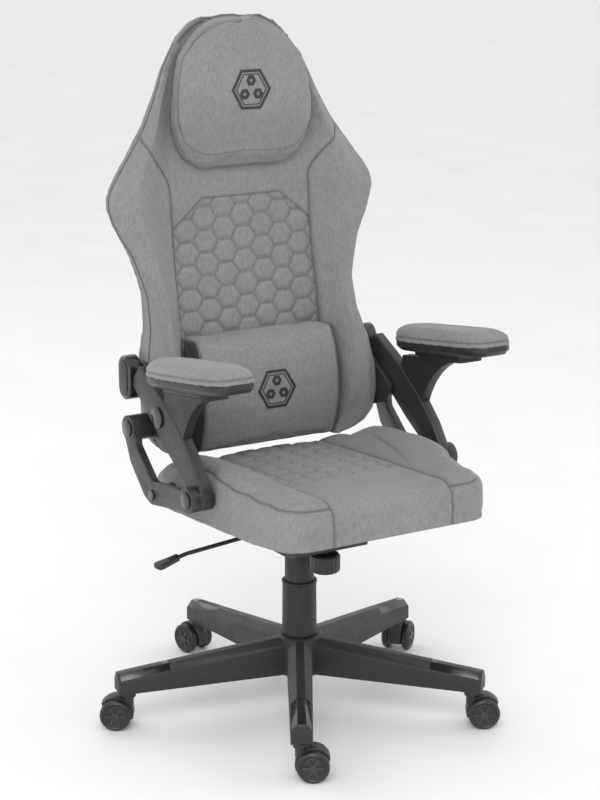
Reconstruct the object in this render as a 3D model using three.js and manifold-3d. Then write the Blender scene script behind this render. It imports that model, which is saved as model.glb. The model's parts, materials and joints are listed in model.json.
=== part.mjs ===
// A reclining swivel chair on a five-legged base. Millimetres, +Z up, the sitter faces -Y, the floor is Z = 0.
// Everything is drawn about the column's axis; the finished group is then shifted so that its origin is the
// middle of its outer box on the floor. "left" and "right" are the sitter's.
import * as THREE from 'three';
import { mergeVertices } from 'three/addons/utils/BufferGeometryUtils.js';
import Module from 'manifold-3d';

const wasm = await Module();
wasm.setup();

// ---------------------------------------------------------------- driving dimensions
const GAP = 0.3;              // clearance between touching pieces
const RUN = 1.2;              // clearance beside pieces that turn against each other
const SOFT_GAP = 1.2;         // clearance between two sewn pieces

const LEG_COUNT = 5;
const LEG_REACH = 345;        // column axis to the end of a leg
const WHEEL_RADIUS = 28.5;
const LEG_END_BOTTOM = 2 * WHEEL_RADIUS + 11;
const LEG_END_TOP = LEG_END_BOTTOM + 37;
const LEG_ROOT_BOTTOM = LEG_END_BOTTOM + 2;
const LEG_ROOT_TOP = LEG_ROOT_BOTTOM + 71;
const LEG_ROOT_WIDTH = 46;
const LEG_END_WIDTH = 38;
const LEG_RIDGE_WIDTH = 15;
const LEG_BEVEL = 13;         // drop from the ridge to the upright sides
const BASE_TURN = -30.7;      // degrees, how far the base is swivelled from straight ahead
const HUB_RADIUS = 42;
const GRIP_FROM = 250;        // foot grips lie on the legs between these two distances from the axis
const GRIP_TO = 341;
const GRIP_THICK = 2.6;
const GRIP_RIM = 1.6;         // leg surface left beside a foot grip

const CASTER_CIRCLE = 326;    // radius of the circle of caster stems
const CASTER_TRAIL = 20;      // stem axis to wheel axle
const CASTER_TURNS = [-123, -121, -49, 14, 58];   // degrees that each caster has swivelled
const WHEEL_WIDTH = 15;
const WHEEL_DISH = 2.2;       // depth of the dished outer face
const CASTER_BODY_WIDTH = 25;
const CASTER_CLEAR = 3.2;     // caster body beyond the tread
const AXLE_RADIUS = 4;
const STEM_RADIUS = 5.5;
const STEM_TOP = LEG_END_BOTTOM + 26;

const TUBE_RADIUS = 24;       // outer tube of the gas lift
const TUBE_BOTTOM = LEG_ROOT_BOTTOM - 8;
const TUBE_TOP = 234;
const PISTON_RADIUS = 14;
const SLEEVE_WALL = 2;        // moving sleeve
const SLEEVE_BOTTOM = LEG_ROOT_TOP + 9;
const COVER_WALL = 4.4;       // fixed sleeve
const COVER_TOP = 244;
const COVER_FLARE = 1.6;

const MECH_WIDTH = 150;
const MECH_FRONT = -112;
const MECH_REAR = 105;
const MECH_BOTTOM = 320;
const MECH_TOP = 363;
const MECH_REAR_TOP = 330;
const MECH_BOSS_BOTTOM = 298;
const MECH_BOSS_RADIUS = 24;
const TILT_PIVOT = [-45, 350];         // Y, Z of the tilt pin
const TILT_PIN_RADIUS = 6;
const KNOB_Y = -88;
const KNOB_RADIUS = 27;
const KNOB_BOTTOM = 285;
const KNOB_TOP = 319;
const KNOB_RIBS = 18;
const LEVER_RADIUS = 4;
const LEVER_PIVOT = [-62, -10, 352];
const LEVER_BEND = [-238, -6, 335];
const LEVER_TIP = [-300, -17, 325];
const LEVER_PUSH = 15;        // rod inside the paddle
const PADDLE_LENGTH = 48;
const PADDLE_WIDTH = 26;
const PADDLE_THICK = 9;

const SEAT_ANGLE = 3.7;       // degrees, front edge up
const SEAT_LEVEL = 390;       // underside of the cushion above the column
const SEAT_HALF_WIDTH = 228;
const SEAT_FRONT = -312;
const SEAT_REAR = 150;
const SEAT_CENTRE_HEIGHT = 75;
const SEAT_BOLSTER_HEIGHT = 111;
const SEAT_BOLSTER_SEAM = 118;
const BOARD_THICK = 12;
const BOARD_SIZE = [370, 400];
const PLATE_THICK = 4;
const PLATE_SIZE = [200, 230];

const BACK_BOTTOM = 468;
const BACK_TOP = 1234;
const BACK_SEAM = 143;        // centre panel to bolster
const BACK_CROWN = 2;         // the centre panel's middle stands forward of its seams
const BACK_BOLSTER_LEAST = 12;
const BACK_SIDE_GAP = 2;      // backrest's side to the hinge plate
const BACK_SHELL_EDGE = 9;    // thickness of the padded shell at its sides
const HEAD_PILLOW = { bottom: 970, top: 1230, front: 163, halfWidth: 138 };
const LUMBAR_PILLOW = { bottom: 474, top: 682, front: 77, back: 150, halfWidth: 153 };

const HINGE_REAR = [133, 535];         // Y, Z of the recline pivot
const HINGE_FRONT = [-80, 458];        // Y, Z of the armrest's lower pivot
const BRACKET_CORNER = [50, 434];      // Y, Z of the seat bracket's bolt
const BOSS_RADIUS = 23;
const PIN_RADIUS = 8;
const PIN_HEAD = 3;
const BOLT_RADIUS = 5;
const THROUGH = 20;           // how far a cutter for a through hole reaches beyond the pieces it passes
const PLATE_INNER = SEAT_HALF_WIDTH - 2;   // X of the inner face of the backrest's hinge plate
const HINGE_PLATE_THICK = 9;
const ARM_THICK = 20;
const BRACKET_THICK = 14.5;
const LINK_CENTRE = [169, 618];        // Y, Z of the link housing
const LINK_SIZE = [44, 80, 26];        // along Y, along Z, across
const LINK_WALL = 4;
const LINK_PIN = [181, 629];           // Y, Z of the arm's link pin
const LINK_PIN_RADIUS = 4;
const LINK_PIN_CLEAR = 3;     // the pin runs loosely in its race
const TONGUE_THICK = 7;
const CAP_CENTRE = [50, 572];          // Y, Z of the round cap on the arm
const CAP_RADIUS = 19;
const CAP_HEIGHT = 4;
const RECLINE = 30;           // degrees
const ARM_RATIO = 0.2;        // arm angle over recline angle

const PAD_X = PLATE_INNER + 31;
const PAD_ANGLE = 8;          // degrees, front edge up
const PAD_FRONT = -238;
const PAD_REAR = 55;
const PAD_HALF_WIDTH = 46;
const PAD_SEAM = 651;         // cushion underside at the rear end
const PAD_CROWN = 26;
const TRAY_THICK = 17;
const SWIVEL_THICK = 7;
const FLANGE_THICK = 7;
const FLANGE_WIDTH = 50;
const FLANGE_LENGTH = 140;
const GUSSET_ROOT = [[34, 590], [-34, 544]];   // Y, Z where the gusset meets the arm, rear and front
const GUSSET_NOSE = -142;

const X_AXIS = new THREE.Vector3(1, 0, 0);
const Y_AXIS = new THREE.Vector3(0, 1, 0);
const Z_AXIS = new THREE.Vector3(0, 0, 1);
const radians = THREE.MathUtils.degToRad;

const bracketInner = PLATE_INNER + HINGE_PLATE_THICK + RUN + ARM_THICK + RUN;
const bracketOuter = bracketInner + BRACKET_THICK;
const armInner = PLATE_INNER + HINGE_PLATE_THICK + RUN;
const armOuter = armInner + ARM_THICK;

// ---------------------------------------------------------------- materials
const looks = {
  plastic: { color: 0x3c3c3e, roughness: 0.55, metalness: 0 },
  gloss: { color: 0x1c1c1e, roughness: 0.25, metalness: 0 },
  fabric: { color: 0x8c8c8a, roughness: 0.95, metalness: 0 },
  steel: { color: 0x2a2a2c, roughness: 0.4, metalness: 0.8 },
  chrome: { color: 0xb8b8ba, roughness: 0.2, metalness: 1 },
  wood: { color: 0xa58a62, roughness: 0.8, metalness: 0 },
};

const chair = new THREE.Group();

function place(name, look, shape) {
  const geometry = shape.isBufferGeometry ? shape : geometryOf(shape);
  const mesh = new THREE.Mesh(geometry, new THREE.MeshStandardMaterial(looks[look]));
  mesh.name = name;
  chair.add(mesh);
  return mesh;
}

// ---------------------------------------------------------------- solids
// A closed geometry as a manifold solid, turned inside out first if its faces point in.
function solid(geometry) {
  const bare = new THREE.BufferGeometry();
  bare.setAttribute('position', geometry.getAttribute('position').clone());
  if (geometry.index) bare.setIndex(geometry.index.clone());
  const merged = mergeVertices(bare, 1e-4);
  const vertProperties = new Float32Array(merged.getAttribute('position').array);
  const triVerts = new Uint32Array(wholeTriangles(merged.index.array));
  if (signedVolume(vertProperties, triVerts) < 0) {
    for (let i = 0; i < triVerts.length; i += 3) {
      [triVerts[i], triVerts[i + 1]] = [triVerts[i + 1], triVerts[i]];
    }
  }
  return new wasm.Manifold(new wasm.Mesh({ numProp: 3, vertProperties, triVerts }));
}

// Triangles that merging has folded onto an edge are left out.
function wholeTriangles(index) {
  const kept = [];
  for (let i = 0; i < index.length; i += 3) {
    const [a, b, c] = index.subarray(i, i + 3);
    if (a !== b && b !== c && a !== c) kept.push(a, b, c);
  }
  return kept;
}

function signedVolume(points, triangles) {
  const [a, b, c] = [new THREE.Vector3(), new THREE.Vector3(), new THREE.Vector3()];
  let sum = 0;
  for (let i = 0; i < triangles.length; i += 3) {
    a.fromArray(points, 3 * triangles[i]);
    b.fromArray(points, 3 * triangles[i + 1]);
    c.fromArray(points, 3 * triangles[i + 2]);
    sum += a.dot(b.cross(c));
  }
  return sum;
}

function geometryOf(manifold) {
  const mesh = manifold.simplify(0.02).getMesh();
  const geometry = new THREE.BufferGeometry();
  geometry.setAttribute('position', new THREE.BufferAttribute(new Float32Array(mesh.vertProperties), 3));
  geometry.setIndex(new THREE.BufferAttribute(new Uint32Array(mesh.triVerts), 1));
  geometry.computeVertexNormals();
  return geometry;
}

function moved(shape, matrix) {
  return shape.transform(matrix.toArray());
}

function shifted(shape, x, y, z) {
  return shape.translate([x, y, z]);
}

function joined(...shapes) {
  return shapes.reduce((a, b) => a.add(b));
}

function cut(shape, ...tools) {
  return tools.reduce((a, b) => a.subtract(b), shape);
}

function box(x, y, z, centre) {
  const geometry = new THREE.BoxGeometry(x, y, z);
  geometry.translate(...centre);
  return solid(geometry);
}

// A cylinder along a unit vector, from one distance along it to another, through a point.
function rod(radius, from, to, axis, through = [0, 0, 0], sides = 24) {
  const geometry = new THREE.CylinderGeometry(radius, radius, to - from, sides);
  geometry.translate(0, (from + to) / 2, 0);
  geometry.applyQuaternion(new THREE.Quaternion().setFromUnitVectors(Y_AXIS, axis));
  geometry.translate(...through);
  return solid(geometry);
}

// A profile of [radius, height] points, closed on itself or on the axis, turned about Z.
function turned(profile, sides = 28) {
  const points = profile.map(([r, z]) => new THREE.Vector2(r, z));
  const geometry = new THREE.LatheGeometry(points, sides);
  geometry.rotateX(Math.PI / 2);
  return solid(geometry);
}

// An outline with rounded corners: [x, y, radius] points.
function outline(corners) {
  const shape = new THREE.Shape();
  const count = corners.length;
  corners.forEach(([x, y, radius], i) => {
    const here = new THREE.Vector2(x, y);
    const before = new THREE.Vector2(...corners[(i + count - 1) % count]).sub(here);
    const after = new THREE.Vector2(...corners[(i + 1) % count]).sub(here);
    const half = before.angleTo(after) / 2;
    const reach = Math.min(radius / Math.tan(half), 0.48 * before.length(), 0.48 * after.length());
    const start = here.clone().addScaledVector(before.normalize(), reach);
    const end = here.clone().addScaledVector(after.normalize(), reach);
    if (i === 0) shape.moveTo(start.x, start.y);
    else shape.lineTo(start.x, start.y);
    if (reach > 0) shape.quadraticCurveTo(x, y, end.x, end.y);
  });
  shape.closePath();
  return shape;
}

function circle(x, y, radius) {
  const shape = new THREE.Shape();
  shape.absarc(x, y, radius, 0, 2 * Math.PI, false);
  return shape;
}

// An upright slot with round ends, Y across and Z up.
function stadium([y, z], width, height) {
  const r = width / 2;
  const shape = new THREE.Shape();
  shape.absarc(y, z + height / 2 - r, r, 0, Math.PI, false);
  shape.absarc(y, z - height / 2 + r, r, Math.PI, 2 * Math.PI, false);
  shape.closePath();
  return shape;
}

// A shape drawn in Y and Z, made solid between two X values, its edges bevelled.
function plate(shape, from, to, bevel = 0, curveSegments = 3) {
  const options = { depth: to - from - 2 * bevel, curveSegments, bevelEnabled: bevel > 0 };
  Object.assign(options, { bevelSize: bevel, bevelThickness: bevel, bevelOffset: -bevel, bevelSegments: 1 });
  const geometry = new THREE.ExtrudeGeometry(shape, options);
  geometry.translate(0, 0, bevel);
  geometry.applyMatrix4(new THREE.Matrix4().makeBasis(Y_AXIS, Z_AXIS, X_AXIS));
  geometry.translate(from, 0, 0);
  return solid(geometry);
}

// A closed skin over rings of equal point counts, with a flat cap at each end.
function loft(rings) {
  const points = rings.flat(2);
  const count = rings[0].length;
  const triangles = [];
  for (let r = 0; r + 1 < rings.length; r += 1) {
    for (let i = 0; i < count; i += 1) {
      const [a, b] = [r * count + i, r * count + (i + 1) % count];
      triangles.push(a, b, b + count, a, b + count, a + count);
    }
  }
  const last = (rings.length - 1) * count;
  for (let i = 1; i + 1 < count; i += 1) {
    triangles.push(0, i + 1, i, last, last + i, last + i + 1);
  }
  const geometry = new THREE.BufferGeometry();
  geometry.setAttribute('position', new THREE.Float32BufferAttribute(points, 3));
  geometry.setIndex(triangles);
  return solid(geometry);
}

// The value at x of a smooth curve through [x, value] pairs.
function smooth(pairs, x) {
  const last = pairs.length - 1;
  if (x <= pairs[0][0]) return pairs[0][1];
  if (x >= pairs[last][0]) return pairs[last][1];
  const i = pairs.findIndex(([at]) => at > x) - 1;
  const t = (x - pairs[i][0]) / (pairs[i + 1][0] - pairs[i][0]);
  return pairs[i][1] + (pairs[i + 1][1] - pairs[i][1]) * t * t * (3 - 2 * t);
}

function straight(pairs, x) {
  const last = pairs.length - 1;
  const i = Math.min(Math.max(pairs.findIndex(([at]) => at > x) - 1, 0), last - 1);
  const t = THREE.MathUtils.clamp((x - pairs[i][0]) / (pairs[i + 1][0] - pairs[i][0]), 0, 1);
  return x >= pairs[last][0] ? pairs[last][1] : pairs[i][1] + (pairs[i + 1][1] - pairs[i][1]) * t;
}

function mirrored(shape) {
  return shape.mirror([1, 0, 0]);
}

// Every piece beside the seat is drawn for the left (+X) and mirrored for the right.
function placeBoth(name, look, shape) {
  place(`${name}_left`, look, shape);
  place(`${name}_right`, look, mirrored(shape));
}

// ---------------------------------------------------------------- base
// One leg's outer shape lies along +X, from the hub to the end.
function legBlank() {
  const stations = [
    [10, LEG_ROOT_WIDTH, LEG_ROOT_TOP, LEG_ROOT_BOTTOM],
    [LEG_REACH - 2, LEG_END_WIDTH, LEG_END_TOP, LEG_END_BOTTOM],
    [LEG_REACH, LEG_END_WIDTH - 4, LEG_END_TOP - 3, LEG_END_BOTTOM + 2],
  ];
  return loft(stations.map(([x, width, top, bottom]) => [
    [x, -width / 2, bottom],
    [x, width / 2, bottom],
    [x, width / 2, top - LEG_BEVEL],
    [x, LEG_RIDGE_WIDTH / 2, top],
    [x, -LEG_RIDGE_WIDTH / 2, top],
    [x, -width / 2, top - LEG_BEVEL],
  ]));
}

// The skin of a leg's top over the grip, to a depth, kept clear of the sides and grown by a margin.
function gripSkin(leg, depth, margin) {
  const height = LEG_BEVEL + 12;
  const width = LEG_END_WIDTH - 2 * GRIP_RIM + 2 * margin;
  const length = GRIP_TO - GRIP_FROM + 2 * margin;
  const window = box(length, width, height, [(GRIP_TO + GRIP_FROM) / 2, 0, LEG_END_TOP - LEG_BEVEL / 2 + 6]);
  return leg.intersect(window).subtract(shifted(leg, 0, 0, -depth));
}

function legTurn(index) {
  const angle = radians(BASE_TURN - 90 + index * 360 / LEG_COUNT);
  return new THREE.Matrix4().makeRotationZ(angle);
}

function addBase() {
  const leg = legBlank();
  const pocket = gripSkin(leg, GRIP_THICK + GAP, GAP);
  const socket = rod(STEM_RADIUS + GAP, LEG_END_BOTTOM - 5, STEM_TOP + GAP, Z_AXIS, [CASTER_CIRCLE, 0, 0], 16);
  const bored = cut(leg, pocket, socket);
  let star = turned([[0, LEG_ROOT_BOTTOM - 4], [HUB_RADIUS - 4, LEG_ROOT_BOTTOM - 4], [HUB_RADIUS, LEG_ROOT_BOTTOM],
    [HUB_RADIUS, LEG_ROOT_TOP - 3], [HUB_RADIUS - 3, LEG_ROOT_TOP], [0, LEG_ROOT_TOP]]);
  for (let i = 0; i < LEG_COUNT; i += 1) {
    star = star.add(moved(bored, legTurn(i)));
  }
  place('star_base', 'plastic', cut(star, rod(TUBE_RADIUS + GAP, 0, LEG_ROOT_TOP + 5, Z_AXIS)));
  const grip = gripSkin(leg, GRIP_THICK, 0);
  for (let i = 0; i < LEG_COUNT; i += 1) {
    place(`foot_grip_${i + 1}`, 'gloss', moved(grip, legTurn(i)));
  }
}

// A caster's stem stands on the origin and its wheels trail behind it along +Y.
function casterBody() {
  const reach = WHEEL_RADIUS + CASTER_CLEAR;
  const shape = new THREE.Shape();
  shape.absarc(CASTER_TRAIL, WHEEL_RADIUS, reach, radians(200), radians(35), true);
  shape.lineTo(CASTER_TRAIL + 9, WHEEL_RADIUS - 6);
  shape.lineTo(CASTER_TRAIL + 4, WHEEL_RADIUS - 15);
  shape.lineTo(CASTER_TRAIL - 12, WHEEL_RADIUS - 17);
  shape.closePath();
  const half = CASTER_BODY_WIDTH / 2;
  const web = plate(shape, -half, half, 1.5, 6);
  const bossTop = LEG_END_BOTTOM - 2 * GAP - 1;
  const boss = rod(half + 3, WHEEL_RADIUS * 2 + 1.5, bossTop, Z_AXIS, [0, 0, 0], 20);
  const neck = rod(half - 1, WHEEL_RADIUS + 12, bossTop, Z_AXIS, [0, 0, 0], 20);
  const stem = rod(STEM_RADIUS, bossTop - 5, STEM_TOP, Z_AXIS, [0, 0, 0], 16);
  const bore = rod(AXLE_RADIUS + GAP, -half - 1, half + 1, X_AXIS, [0, CASTER_TRAIL, WHEEL_RADIUS], 16);
  return cut(joined(web, boss, neck, stem), bore);
}

// Both wheels on their common axle, turned about the X axis through the axle's centre.
function casterWheels() {
  const inner = CASTER_BODY_WIDTH / 2 + RUN / 2;
  const outer = inner + WHEEL_WIDTH;
  const half = [
    [AXLE_RADIUS, inner],
    [WHEEL_RADIUS - 2, inner],
    [WHEEL_RADIUS, inner + 3],
    [WHEEL_RADIUS, outer - 4],
    [WHEEL_RADIUS - 5, outer],
    [WHEEL_RADIUS - 7, outer - WHEEL_DISH],
    [0, outer - WHEEL_DISH],
  ];
  const far = half.map(([r, x]) => [r, -x]).reverse();
  const pair = turned([...far, ...half], 20);
  return pair.rotate([0, 90, 0]);
}

function addCasters() {
  const body = casterBody();
  const wheels = shifted(casterWheels(), 0, CASTER_TRAIL, WHEEL_RADIUS);
  CASTER_TURNS.forEach((turn, i) => {
    const spot = legTurn(i).multiply(new THREE.Matrix4().makeTranslation(CASTER_CIRCLE, 0, 0));
    const centre = new THREE.Vector3().setFromMatrixPosition(spot);
    const pose = new THREE.Matrix4().makeRotationZ(radians(turn)).setPosition(centre);
    place(`caster_body_${i + 1}`, 'plastic', moved(body, pose));
    place(`caster_wheels_${i + 1}`, 'plastic', moved(wheels, pose));
  });
}

// ---------------------------------------------------------------- column
function addColumn() {
  const tubeFloor = TUBE_BOTTOM + 12;
  const tube = turned([[0, TUBE_BOTTOM], [TUBE_RADIUS, TUBE_BOTTOM], [TUBE_RADIUS, TUBE_TOP],
    [PISTON_RADIUS + GAP, TUBE_TOP], [PISTON_RADIUS + GAP, tubeFloor], [0, tubeFloor]], 24);
  place('gas_tube', 'steel', tube);
  place('gas_piston', 'chrome', rod(PISTON_RADIUS, tubeFloor + 20, MECH_BOTTOM + 24, Z_AXIS));
  const inner = TUBE_RADIUS + 2 * GAP;
  const outer = inner + SLEEVE_WALL;
  const top = MECH_BOSS_BOTTOM - GAP;
  place('upper_sleeve', 'plastic', turned([[inner, SLEEVE_BOTTOM], [outer, SLEEVE_BOTTOM], [outer, top],
    [PISTON_RADIUS + GAP, top], [PISTON_RADIUS + GAP, top - SLEEVE_WALL], [inner, top - SLEEVE_WALL],
    [inner, SLEEVE_BOTTOM]]));
  const coverInner = outer + 2 * GAP;
  const coverOuter = coverInner + COVER_WALL;
  const bottom = LEG_ROOT_TOP + GAP;
  place('lower_sleeve', 'plastic', turned([[coverInner, bottom], [coverOuter + COVER_FLARE, bottom],
    [coverOuter + COVER_FLARE, bottom + 4], [coverOuter, bottom + 16], [coverOuter - 0.6, COVER_TOP - 6],
    [coverOuter + 0.8, COVER_TOP - 4], [coverOuter + 0.8, COVER_TOP - 1], [coverOuter - 0.4, COVER_TOP],
    [coverInner, COVER_TOP], [coverInner, bottom]]));
}

// ---------------------------------------------------------------- mechanism, knob and lever
function addMechanism() {
  const side = outline([[MECH_FRONT, MECH_BOTTOM + 8, 6], [MECH_FRONT, MECH_TOP, 3], [TILT_PIVOT[0] + 14, MECH_TOP, 4],
    [MECH_REAR, MECH_REAR_TOP, 3], [MECH_REAR, MECH_BOTTOM, 3], [MECH_FRONT + 30, MECH_BOTTOM, 10]]);
  const half = MECH_WIDTH / 2;
  const body = plate(side, -half, half, 1, 4);
  const boss = rod(MECH_BOSS_RADIUS, MECH_BOSS_BOTTOM, MECH_BOTTOM + 5, Z_AXIS);
  const socket = rod(PISTON_RADIUS + GAP, MECH_BOSS_BOTTOM - 5, MECH_BOTTOM + 24 + GAP, Z_AXIS);
  const pinHole = rod(TILT_PIN_RADIUS + GAP, -half - 5, half + 5, X_AXIS, [0, ...TILT_PIVOT], 20);
  const spindleHole = rod(TILT_PIN_RADIUS + GAP, MECH_BOTTOM - 5, MECH_BOTTOM + 20 + GAP, Z_AXIS, [0, KNOB_Y, 0], 20);
  const window = box(2 * (half + LEVER_PIVOT[0]) + 16, 14, 18, [-half - 2, LEVER_PIVOT[1], LEVER_PIVOT[2]]);
  place('mechanism', 'steel', cut(joined(body, boss), socket, pinHole, spindleHole, window));
  const pinReach = half + PLATE_THICK + 5;
  place('tilt_pin', 'steel', rod(TILT_PIN_RADIUS, -pinReach, pinReach, X_AXIS, [0, ...TILT_PIVOT], 20));
}

function addKnob() {
  const ribs = new THREE.Shape();
  for (let i = 0; i < 2 * KNOB_RIBS; i += 1) {
    const angle = i * Math.PI / KNOB_RIBS;
    const radius = i % 2 ? KNOB_RADIUS : KNOB_RADIUS - 1.8;
    const point = [radius * Math.cos(angle), radius * Math.sin(angle)];
    if (i === 0) ribs.moveTo(...point);
    else ribs.lineTo(...point);
  }
  ribs.closePath();
  const grip = new THREE.ExtrudeGeometry(ribs, { depth: KNOB_TOP - KNOB_BOTTOM - 8, bevelThickness: 4,
    bevelSize: 3, bevelOffset: -3, bevelSegments: 1 });
  grip.translate(0, 0, KNOB_BOTTOM + 4);
  const spindle = rod(TILT_PIN_RADIUS, KNOB_TOP - 5, MECH_BOTTOM + 20, Z_AXIS, [0, 0, 0], 20);
  place('tension_knob', 'plastic', shifted(joined(solid(grip), spindle), 0, KNOB_Y, 0));
}

// The rod follows three points; the paddle is pushed onto its bent end.
function addLever() {
  const [start, bend, tip] = [LEVER_PIVOT, LEVER_BEND, LEVER_TIP].map((p) => new THREE.Vector3(...p));
  const along = tip.clone().sub(bend).normalize();
  const rodEnd = tip.clone().addScaledVector(along, LEVER_PUSH - PADDLE_LENGTH);
  const path = new THREE.CurvePath();
  const before = bend.clone().addScaledVector(start.clone().sub(bend).normalize(), 8);
  const after = bend.clone().addScaledVector(along, 8);
  path.add(new THREE.LineCurve3(start, before));
  path.add(new THREE.QuadraticBezierCurve3(before, bend, after));
  path.add(new THREE.LineCurve3(after, rodEnd));
  const shape = circle(0, 0, LEVER_RADIUS);
  const bar = new THREE.ExtrudeGeometry(shape, { extrudePath: path, steps: 12, curveSegments: 4, bevelEnabled: false });
  place('lever_rod', 'steel', solid(bar));
  const half = PADDLE_WIDTH / 2;
  const face = outline([[0, -7, 4], [PADDLE_LENGTH, -half, 9], [PADDLE_LENGTH, half, 9], [0, 7, 4]]);
  const blade = new THREE.ExtrudeGeometry(face, { depth: PADDLE_THICK - 3, bevelThickness: 1.5, bevelSize: 1.5,
    bevelOffset: -1.5, bevelSegments: 1, curveSegments: 4 });
  blade.translate(0, 0, -PADDLE_THICK / 2 + 1.5);
  const socket = rod(LEVER_RADIUS + GAP, -10, LEVER_PUSH + GAP, X_AXIS, [0, 0, 0], 12);
  const collar = rod(LEVER_RADIUS + 3.2, 1, 20, X_AXIS, [0, 0, 0], 12);
  const across = new THREE.Vector3().crossVectors(Z_AXIS, along).normalize();
  const up = new THREE.Vector3().crossVectors(along, across);
  const basis = new THREE.Matrix4().makeBasis(along, across, up);
  basis.setPosition(tip.clone().addScaledVector(along, -PADDLE_LENGTH));
  place('lever_paddle', 'plastic', moved(cut(joined(solid(blade), collar), socket), basis));
}

// ---------------------------------------------------------------- seat
// Seat pieces are drawn level, on the underside of the cushion, and tipped with this matrix.
const seatPose = new THREE.Matrix4().makeRotationX(radians(-SEAT_ANGLE)).setPosition(0, 0, SEAT_LEVEL);

function seatRing(y) {
  const fromFront = y - SEAT_FRONT;
  const fromRear = SEAT_REAR - y;
  const corner = Math.sqrt(Math.max(0, 1 - (1 - Math.min(fromFront / 60, 1)) ** 2));
  const half = (SEAT_HALF_WIDTH - 14 * smooth([[0, 1], [130, 0]], fromFront)) * (0.78 + 0.22 * corner)
    - 10 * smooth([[0, 1], [60, 0]], fromRear);
  const front = Math.sqrt(Math.max(0, 1 - (1 - Math.min(fromFront / 34, 1)) ** 2));
  const rear = Math.sqrt(Math.max(0, 1 - (1 - Math.min(fromRear / 26, 1)) ** 2));
  const lift = 0.72 + 0.28 * Math.min(front, rear);
  const centre = SEAT_CENTRE_HEIGHT * lift;
  const rise = (SEAT_BOLSTER_HEIGHT - SEAT_CENTRE_HEIGHT)
    * smooth([[0, 0.12], [60, 0.32], [200, 1], [330, 1], [415, 0.1]], fromFront);
  const crest = centre + rise;
  const foot = 7 * (1 - Math.min(front, rear));
  const side = [[half - 8, foot], [half, foot + 14], [half, centre * 0.8], [half - 6, crest - 14], [half - 24, crest - 2],
    [half - 46, crest], [half - 70, centre + rise * 0.72], [half - 92, centre + rise * 0.3],
    [Math.min(SEAT_BOLSTER_SEAM, half - 100), centre], [SEAT_BOLSTER_SEAM / 2, centre + 2]];
  const left = side.map(([x, z]) => [-x, y, z]).reverse();
  return [...side.map(([x, z]) => [x, y, z]), [0, y, centre + 3], ...left];
}

function addSeat() {
  const steps = [0, 4, 12, 26, 45, 70, 110, 160, 210, 260, 310, 350, 385, 415, 438, 452, 460, 462];
  const middle = (SEAT_FRONT + SEAT_REAR) / 2;
  const board = (margin) => box(BOARD_SIZE[0] + 2 * margin, BOARD_SIZE[1] + 2 * margin, BOARD_THICK + 2 * margin,
    [0, middle, BOARD_THICK / 2]);
  const cushion = loft(steps.map((d) => seatRing(SEAT_FRONT + d)));
  place('seat_cushion', 'fabric', moved(cut(cushion, board(GAP)), seatPose));
  place('seat_board', 'wood', moved(board(0), seatPose));
  const plateTop = -GAP;
  const sheet = box(PLATE_SIZE[0], PLATE_SIZE[1], PLATE_THICK, [0, 0, plateTop - PLATE_THICK / 2]);
  place('seat_plate', 'steel', joined(moved(sheet, seatPose), seatLug(1), seatLug(-1)));
}

// The lug hangs from the seat plate beside the mechanism and takes the tilt pin.
function seatLug(side) {
  const [y, z] = TILT_PIVOT;
  const top = SEAT_LEVEL - GAP - PLATE_THICK - Math.tan(radians(SEAT_ANGLE)) * y;
  const shape = outline([[y - 24, top + 2, 0], [y - 13, z - 12, 8], [y + 13, z - 12, 8], [y + 24, top, 0]]);
  const inner = MECH_WIDTH / 2 + RUN;
  const hole = rod(TILT_PIN_RADIUS + GAP, 0, 2 * inner, X_AXIS, [0, y, z], 20);
  const lug = cut(plate(shape, inner, inner + PLATE_THICK), hole);
  return side > 0 ? lug : mirrored(lug);
}

// ---------------------------------------------------------------- backrest
// Half width, front edge, rear edge and centre depth of the backrest against height.
// Levels and depths of the backrest, as pairs of the share of its height and a distance.
function backLevel(share) {
  return BACK_BOTTOM + share * (BACK_TOP - BACK_BOTTOM);
}

function alongBack(pairs) {
  return pairs.map(([share, distance]) => [backLevel(share), distance]);
}

// How far the backrest spreads beyond its width between the hinge plates.
const backSpread = alongBack([
  [0, -74], [0.013, -40], [0.031, -16], [0.061, -3], [0.107, 0], [0.225, 0], [0.303, -12],
  [0.381, -12], [0.471, 9], [0.535, 36], [0.584, 48], [0.61, 46], [0.638, 34], [0.675, 14],
  [0.711, -6], [0.76, -32], [0.811, -52], [0.894, -81], [0.943, -103], [0.975, -125], [0.992, -144], [1, -164]]);

function backHalf(z) {
  return PLATE_INNER - BACK_SIDE_GAP + straight(backSpread, z);
}

const backEdgeFront = alongBack([
  [0, 118], [0.094, 95], [0.172, 100], [0.251, 122], [0.381, 154], [0.525, 176], [0.603, 182], [0.76, 205],
  [0.89, 218], [1, 236]]);
const backEdgeRear = alongBack([
  [0, 158], [0.042, 180], [0.12, 190], [0.238, 192], [0.381, 200], [0.603, 212], [0.76, 226], [0.89, 236],
  [1, 246]]);
const backCentre = alongBack([
  [0, 150], [0.12, 163], [0.313, 182], [0.586, 207], [0.76, 222], [1, 238]]);
const backRear = alongBack([
  [0, 166], [0.042, 200], [0.12, 222], [0.303, 236], [0.603, 260], [0.825, 268], [0.975, 266], [1, 250]]);
const backSplit = alongBack([
  [0, 160], [0.042, 184], [0.12, 194], [0.303, 206], [0.603, 230], [0.825, 244], [1, 244]]);
const backSteps = [
  0, 0.013, 0.031, 0.061, 0.107, 0.172, 0.238, 0.303, 0.381, 0.471, 0.535, 0.577, 0.61, 0.638,
  0.675, 0.711, 0.76, 0.811, 0.894, 0.956, 0.984, 1].map(backLevel);
const backAcross = [1, 0.93, 0.82, 0.7, 0.56, 0.3];

// Half the width of the centre panel: straight, then following the outline where the backrest gets narrow.
function backSeam(z) {
  return Math.min(BACK_SEAM, backHalf(z) - BACK_BOLSTER_LEAST);
}

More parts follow.
